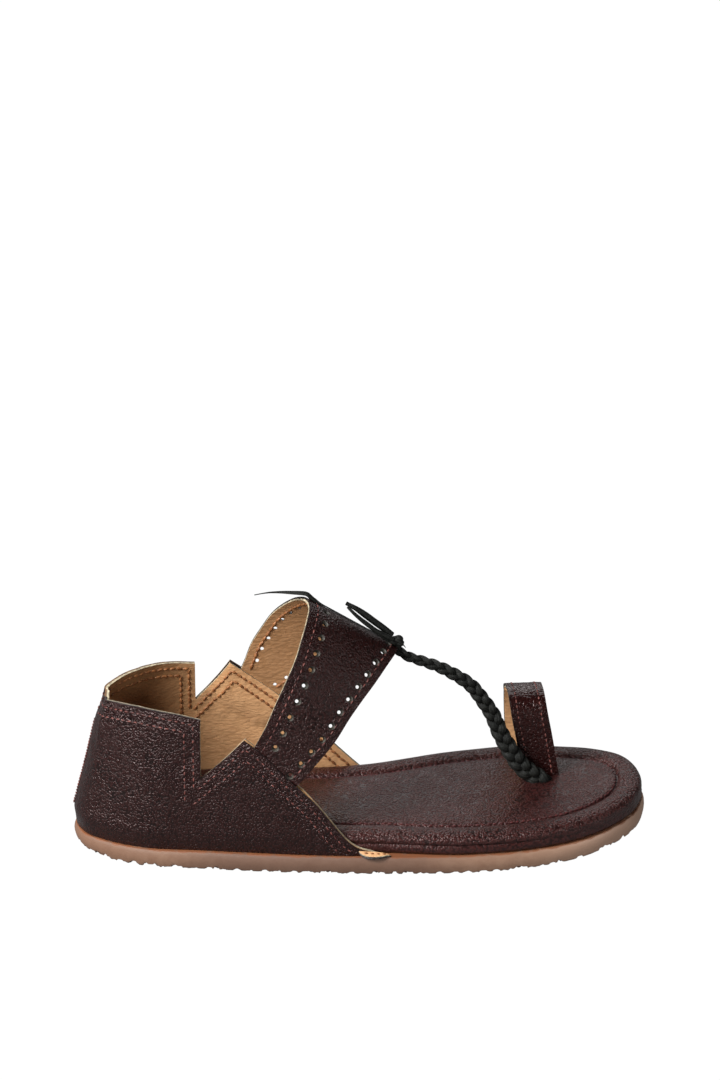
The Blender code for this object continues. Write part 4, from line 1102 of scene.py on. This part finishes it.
# Instep band: a strap of the same leather over the tan lining, arched over the foot and sewn
# in between the layers of the quarter. Two rows of round holes are punched through it.
HOLE_ROWS = (
    ("back", 0.091, 0.105, 0.525, 10), ("front", 0.059, 0.070, 0.530, 12),
    ("back", 0.060, 0.567, 0.885, 9), ("front", 0.059, 0.570, 0.920, 11),
)
BAND_SKIN = 0.00095
band_s, band_t = np.meshgrid(np.linspace(0.0, 1.0, BAND_ROWS + 1), np.linspace(0.0, 1.0, BAND_COLUMNS + 1),
                             indexing="ij")
band_quads = quads(BAND_ROWS + 1, BAND_COLUMNS + 1)


def band_layer(name, top, bottom, finishes):
    """One layer of the band, its cut edges in their own finish, the front one painted dark."""
    outer = band_place(band_s, band_t, top).reshape(-1, 3)
    inner = band_place(band_s, band_t, bottom).reshape(-1, 3)
    thing = two_faced(name, outer, inner, band_quads, finishes, 0.0)
    mesh = thing.data
    mesh.materials.append(dark_edge.material)
    front_index = len(mesh.materials) - 1
    columns = BAND_COLUMNS + 1
    size = (BAND_ROWS + 1) * columns
    for face in mesh.polygons:
        if all((k % size) % columns == BAND_COLUMNS for k in face.vertices):
            face.material_index = front_index
    return thing


band_leather = leather("band_leather", (0.005, 0.0012, 0.0010), (0.023, 0.0054, 0.0047),
                       roughness=0.32, cells=1000.0, depth=0.00026, crease=0.4)
# The band's lining is the tan lining's leather painted darker, as painted shade inside the arch of the band.
band_tan_shaded = leather("band_tan_shaded", (0.400, 0.205, 0.088), (0.480, 0.255, 0.118),
                   roughness=0.52, cells=420.0, depth=0.00010, crease=2.2, stretch=(1.0, 1.0, 2.2))
band_skin = band_layer("band_leather", 0.0, BAND_SKIN, [band_leather, dark_edge, dark_edge])
band_lining = band_layer("band_lining", BAND_SKIN + 0.00003, BAND_WALL, [band_tan_shaded, band_tan_shaded, cut_edge])

hole_edge = edge_finish("hole_edge", (0.050, 0.048, 0.040), 0.6, 1200.0, 0.35, (0.018, 0.015, 0.013),
                        (0.090, 0.086, 0.072), 0.00010)
punches = []
for edge_name, inset, start, end, count in HOLE_ROWS:
    for s in np.linspace(start, end, count):
        back, front = band_edges(s)
        width = np.linalg.norm(front - back)
        t = inset * WIDTH / width if edge_name == "back" else 1.0 - inset * WIDTH / width
        out = Vector(band_out(np.array(s), np.array(t)))
        at = band_place(np.array(s), np.array(t), 0.5 * BAND_WALL)
        bpy.ops.mesh.primitive_cone_add(vertices=20, radius1=0.00004, radius2=0.00236, depth=0.0050,
                                        location=tuple(at), rotation=out.to_track_quat("Z", "Y").to_euler())
        punches.append(bpy.context.object)
        punches[-1].data.materials.append(hole_edge.material)
bpy.ops.object.select_all(action="DESELECT")
for punch in punches:
    punch.select_set(True)
bpy.context.view_layer.objects.active = punches[0]
bpy.ops.object.join()
punch_tool = bpy.context.object
for layer in (band_skin, band_lining):
    work(layer, "BOOLEAN", operation="DIFFERENCE", solver="EXACT", object=punch_tool,
         material_mode="TRANSFER")
    soften(layer, 0.00018)
bpy.data.objects.remove(punch_tool, do_unlink=True)


def clear_of_quarter(points, margin):
    """True for each place of the band that isn't covered by the quarter."""
    free = []
    for x, y, z in points:
        side = 1 if y < 0.0 else -1
        line = wing_edge[side]
        places = outline_at(line[:, 0])[0]
        free.append(x > places[-1] or z > np.interp(x, places, line[:, 1]) + margin)
    return np.array(free)


band_rows = {"outside": [], "inside": []}
for row_t in ("back", "front"):
    s = np.linspace(0.01, 0.99, 260)
    back, front = band_edges(s)
    width = np.linalg.norm(front - back, axis=1)
    inset = 0.0040 / width if row_t == "back" else 1.0 - 0.0036 / width
    out = band_out(s, inset)
    for where, deep, sign in (("outside", -0.00003, 1.0), ("inside", BAND_WALL + 0.00003, -1.0)):
        line = band_place(s, inset, deep)
        seen = clear_of_quarter(line, 0.0016 if where == "outside" else 0.0025)
        band_rows[where].append((line[seen], out[seen] * sign))
sew("band_stitches", band_rows["outside"], outer_thread,
    pitch=0.0032, long=0.0020, wide=0.00055, tall=0.00048)
sew("band_lining_stitches", band_rows["inside"], lining_thread,
    pitch=0.0030, long=0.0032, wide=0.00120, tall=0.00090, turn=15.0)

# Toe loop: a strap of the upper's leather, lined with tan and sewn along both edges. Its ends
# go down through slits in the footbed, one beside the plait and one in the inner border.
LOOP_WIDTH = 0.0165
LOOP_STEPS = 120
LOOP_COLUMNS = 18
LOOP = (
    (0.3289, 0.096, 0.115, 0.0), (0.3250, 0.102, 0.157, 0.0), (0.3198, 0.113, 0.226, 0.0),
    (0.3118, 0.131, 0.330, 0.0), (0.3048, 0.147, 0.409, 0.0), (0.3023, 0.161, 0.443, 0.0),
    (0.3013, 0.185, 0.462, 0.0), (0.3013, 0.225, 0.471, 0.0), (0.3013, 0.283, 0.473, 0.0),
    (0.3013, 0.345, 0.467, 0.0), (0.3013, 0.385, 0.451, 0.0), (0.3020, 0.410, 0.420, -1.0),
    (0.3034, 0.427, 0.362, -2.0), (0.3055, 0.439, 0.287, -3.5), (0.3079, 0.440, 0.209, -5.0),
    (0.3086, 0.4365, 0.140, -5.0), (0.3086, 0.4345, 0.0850, -5.0),
)
loop_rows = np.array([(x * LENGTH, y * WIDTH, z * HEIGHT, math.radians(turn)) for x, y, z, turn in LOOP])
loop_rows[:, 2] += np.where(loop_rows[:, 2] < 0.030, toe_spring(loop_rows[:, 0]), 0.0)
loop_line = evenly(smooth_curve(loop_rows, 8), LOOP_STEPS)
loop_step = np.gradient(loop_line[:, :3], axis=0)
loop_step /= np.linalg.norm(loop_step, axis=1)[:, None]
loop_across = np.stack((np.cos(loop_line[:, 3]), np.sin(loop_line[:, 3]), np.zeros(len(loop_line))), axis=1)
loop_across -= loop_step * (loop_step * loop_across).sum(1)[:, None]
loop_across /= np.linalg.norm(loop_across, axis=1)[:, None]
loop_up = np.cross(loop_across, loop_step)
loop_middle = loop_line[:, :3].mean(0)
if ((loop_line[:, :3] - loop_middle) * loop_up).sum() < 0.0:
    loop_up = -loop_up


def loop_face(level, half):
    """Grid of points across the loop at one level of its thickness."""
    across = np.linspace(-half, half, LOOP_COLUMNS + 1)
    grid = loop_line[:, None, :3] + loop_across[:, None, :] * across[None, :, None]
    grid = grid + loop_up[:, None, :] * level
    pucker = 0.00010 * ripple(grid, 0.0022, 4.0) + 0.00012 * ripple(grid, 0.006, 6.0)
    return (grid + loop_up[:, None, :] * pucker[..., None]).reshape(-1, 3)


loop_leather = leather("loop_leather", (0.007, 0.0013, 0.0011), (0.022, 0.0044, 0.0037),
                       roughness=0.24, cells=820.0, depth=0.00020, crease=0.8)
loop_quads = quads(LOOP_STEPS + 1, LOOP_COLUMNS + 1)
half = 0.5 * LOOP_WIDTH
loop_skin = two_faced("toe_loop_leather", loop_face(0.0010, half), loop_face(-0.00005, half), loop_quads,
                      [loop_leather, dark_edge, dark_edge], 0.00025)
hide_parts("toe_loop")
two_faced("toe_loop_lining", loop_face(-0.00010, half - 0.0002), loop_face(-0.0010, half - 0.0002),
          loop_quads, [tan_lining, tan_lining, cut_edge], 0.0002)
loop_seams = []
for across in (-half + 0.0030, half - 0.0030):
    line = loop_line[:, :3] + loop_across * across + loop_up * 0.00105
    seen = line[:, 2] > 0.0185
    loop_seams.append((line[seen], loop_up[seen]))
sew("toe_loop_stitches", loop_seams, outer_thread,
    pitch=0.0026, long=0.0017, wide=0.00055, tall=0.00050)

# Plait: three dark waxed laces braided flat, thin at the knot on the band and broad at the
# footbed, where it goes down through the slit beside the toe loop.
PLAIT = (
    (0.0590, 0.070, 0.780), (0.0682, 0.078, 0.743), (0.0846, 0.078, 0.716), (0.1108, 0.078, 0.692),
    (0.1412, 0.078, 0.663), (0.1678, 0.078, 0.628), (0.1947, 0.078, 0.582), (0.2170, 0.078, 0.514),
    (0.2352, 0.076, 0.447),
    (0.2485, 0.068, 0.372), (0.2667, 0.056, 0.297), (0.2901, 0.051, 0.218), (0.3111, 0.050, 0.178),
    (0.3257, 0.050, 0.148), (0.3313, 0.050, 0.116),
)
PLAIT_TOP = 0.0036
PLAIT_BASE = 0.0086
PLAIT_PITCH = 0.0165
STRAND_SIDES = 36
plait_line = evenly(smooth_curve([(x * LENGTH, y * WIDTH, z * HEIGHT) for x, y, z in PLAIT], 8), 360)


def path_frames(line):
    """Forward, side and up along a path that stays near one upright plane."""
    forward = np.gradient(line, axis=0)
    forward /= np.linalg.norm(forward, axis=1)[:, None]
    side = np.array((0.0, 1.0, 0.0)) - forward * forward[:, 1:2]
    side /= np.linalg.norm(side, axis=1)[:, None]
    return forward, side, np.cross(side, forward)


def closed_tube(name, rings):
    """Closed body through rings of points, with a point in the middle of each end."""
    size = len(rings[0])
    faces = quads(len(rings), size, around=True)
    points = list(np.vstack(rings))
    for ring, first in ((rings[0], 0), (rings[-1], (len(rings) - 1) * size)):
        points.append(ring.mean(0))
        faces += [(first + k, first + (k + 1) % size, len(points) - 1) for k in range(size)]
    return new_piece(name, points, faces, [waxed.material], 60.0)


waxed = Finish("waxed_lace", (0.010, 0.011, 0.009), 0.66)
waxed.shader.inputs["Specular IOR Level"].default_value = 0.30
waxed.colour(waxed.blend(waxed.ramp(waxed.noise(900.0, 3.0), 0.35, 0.65), (0.0030, 0.0034, 0.0026),
                         (0.0115, 0.0125, 0.0100)))
waxed.rough(waxed.ramp(waxed.noise(300.0, 2.0), 0.3, 0.7, 0.56, 0.74))
waxed.bump(waxed.noise(2600.0, 4.0, 0.65), 0.00022)

forward, side, up = path_frames(plait_line)
plait_s = lengths_along(plait_line)
plait_share = plait_s / plait_s[-1]
plait_half = 0.5 * (PLAIT_TOP + (PLAIT_BASE - PLAIT_TOP) * plait_share ** 0.9)
for number in range(3):
    phase = 2.0 * math.pi * (plait_s / PLAIT_PITCH + number / 3.0)
    middle = plait_line + up * (0.57 * plait_half * np.sin(phase))[:, None]
    middle = middle + side * (0.36 * plait_half * np.sin(2.0 * phase))[:, None]
    turns = 2.0 * math.pi * np.arange(STRAND_SIDES) / STRAND_SIDES
    ribs = 1.0 + 0.075 * np.cos(9.0 * turns)
    run = np.gradient(middle, axis=0)
    run /= np.linalg.norm(run, axis=1)[:, None]
    thin = side - run * (side * run).sum(1)[:, None]
    thin /= np.linalg.norm(thin, axis=1)[:, None]
    broad = np.cross(thin, run)
    rings = [at + half * (np.outer(np.cos(turns) * ribs * 0.34, a) + np.outer(np.sin(turns) * ribs * 0.53, b))
             for at, half, a, b in zip(middle, plait_half, thin, broad)]
    closed_tube(f"plait_strand_{number + 1}", rings)
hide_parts("toe_braid")

# Thong: a flat dark lace that lies along the top of the band, tied to the plait at the front
# edge and tapered to a free tail at the back. Two cut ends stand up from its knot.
THONG_WIDTH = 0.0030
THONG_THICK = 0.0013
RIDGE = (
    (0.01394, 0.00742, 0.08993), (0.01107, 0.00743, 0.09173), (0.00821, 0.00743, 0.09353),
    (0.00534, 0.00744, 0.09534), (0.00248, 0.00744, 0.09715), (-0.00038, 0.00744, 0.09896),
    (-0.00324, 0.00744, 0.10077), (-0.00610, 0.00744, 0.10259), (-0.00896, 0.00744, 0.10441),
    (-0.01182, 0.00743, 0.10623), (-0.01467, 0.00742, 0.10805), (-0.01756, 0.00734, 0.10982),
    (-0.02030, 0.00750, 0.11179), (-0.02279, 0.00798, 0.11401), (-0.02594, 0.00906, 0.11414),
    (-0.02913, 0.01017, 0.11392), (-0.03237, 0.01113, 0.11376), (-0.03570, 0.01174, 0.11363),
    (-0.03906, 0.01210, 0.11344), (-0.04240, 0.01231, 0.11296), (-0.04573, 0.01242, 0.11235),
)
LONG_END = (
    (0.01475, 0.00711, 0.09298), (0.01099, 0.00725, 0.09645), (0.00703, 0.00749, 0.09969),
    (0.00306, 0.00784, 0.10291), (-0.00101, 0.00829, 0.10599), (-0.00541, 0.00882, 0.10856),
)
SHORT_END = (
    (0.01486, 0.00378, 0.09269), (0.01101, 0.00328, 0.09502), (0.00722, 0.00292, 0.09755),
    (0.00366, 0.00288, 0.10056), (-0.00014, 0.00307, 0.10390), (-0.00340, 0.00340, 0.10720),
    (-0.00500, 0.00480, 0.10860),
)
KNOT = (0.01674, 0.00558, 0.09114)
KNOT_SIDES = 12
KNOT_TIP = ((0.0150, 0.0052, 0.0924), (0.0170, 0.0042, 0.0919), (0.0190, 0.0036, 0.0903),
            (0.0206, 0.0034, 0.0884))


def lace(name, rows, steps, tip_share, taper_from, scale=1.0, deep=1.0, press=0.0):
    """Flat lace with rounded edges that narrows toward its free end; press flattens its middle."""
    line = evenly(smooth_curve(rows, 8), steps)
    side, up = path_frames(line)[1:]
    turns = 2.0 * math.pi * np.arange(14) / 14
    rings = []
    for i in range(steps + 1):
        full = scale * (1.0 - (1.0 - tip_share) * float(soft_step(taper_from, 1.0, i / steps)))
        crimp = 1.0 + 0.05 * noise.noise(Vector((i * 0.45, 3.0 * len(rows), 0.0)))
        laid = float(soft_step(0.04, 0.12, i / steps)) * (1.0 - float(soft_step(0.50, 0.60, i / steps)))
        flat = 1.0 - press * laid
        a = 0.5 * THONG_WIDTH * full * crimp * (0.5 + 0.5 * flat)
        b = 0.5 * THONG_THICK * full * deep * flat
        lobes = 1.0 + 0.07 * np.cos(4.0 * turns)
        ring = np.outer(a * np.cos(turns) * lobes, side[i]) + np.outer(b * np.sin(turns) * lobes, up[i])
        rings.append(line[i] + ring)
    return closed_tube(name, rings)


RIDGE_STEPS = 90
ridge_lace = lace("thong_ridge_lace", RIDGE, RIDGE_STEPS, tip_share=0.22, taper_from=0.64,
                  deep=1.40, press=0.85)
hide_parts("thong_ridge")
long_lace = lace("thong_long_lace", LONG_END, 40, tip_share=0.60, taper_from=0.55, scale=1.05, deep=2.1)
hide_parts("thong_end_long")
short_lace = lace("thong_short_lace", SHORT_END, 40, tip_share=0.65, taper_from=0.50, scale=0.80, deep=1.9)
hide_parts("thong_end_short")

knot_turn = np.linspace(0.0, 2.0 * math.pi, 91)
knot_path = np.stack((KNOT[0] + 0.00180 * np.cos(3.0 * knot_turn) + 0.00035 * np.sin(knot_turn),
                      KNOT[1] + 0.00055 * (2.0 + np.cos(3.0 * knot_turn)) * np.cos(2.0 * knot_turn),
                      KNOT[2] + 0.00055 * (2.0 + np.cos(3.0 * knot_turn)) * np.sin(2.0 * knot_turn)), axis=1)
knot_run = np.gradient(knot_path, axis=0)
knot_run[0] = knot_run[-1] = knot_path[1] - knot_path[-2]
knot_run /= np.linalg.norm(knot_run, axis=1)[:, None]
knot_out = knot_path - np.array(KNOT)
knot_out -= knot_run * (knot_out * knot_run).sum(1)[:, None]
knot_out /= np.linalg.norm(knot_out, axis=1)[:, None]
knot_wide = np.cross(knot_run, knot_out)
turns = 2.0 * math.pi * np.arange(KNOT_SIDES) / KNOT_SIDES
knot_rings = [c + np.outer(np.cos(turns) * 0.00100, o) + np.outer(np.sin(turns) * 0.00160, w)
              for c, o, w in zip(knot_path[:-1], knot_out, knot_wide)]
knot_faces = quads(len(knot_rings), KNOT_SIDES, around=True)
last = (len(knot_rings) - 1) * KNOT_SIDES
knot_faces += [(last + k, last + (k + 1) % KNOT_SIDES, (k + 1) % KNOT_SIDES, k) for k in range(KNOT_SIDES)]
knot = new_piece("thong_knot_turns", np.vstack(knot_rings), knot_faces, [waxed.material],
                 60.0)
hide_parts("thong_knot")
tip_lace = lace("thong_knot_tip", KNOT_TIP, 16, tip_share=0.12, taper_from=0.2, scale=0.9, deep=1.9)

bpy.context.view_layer.update()
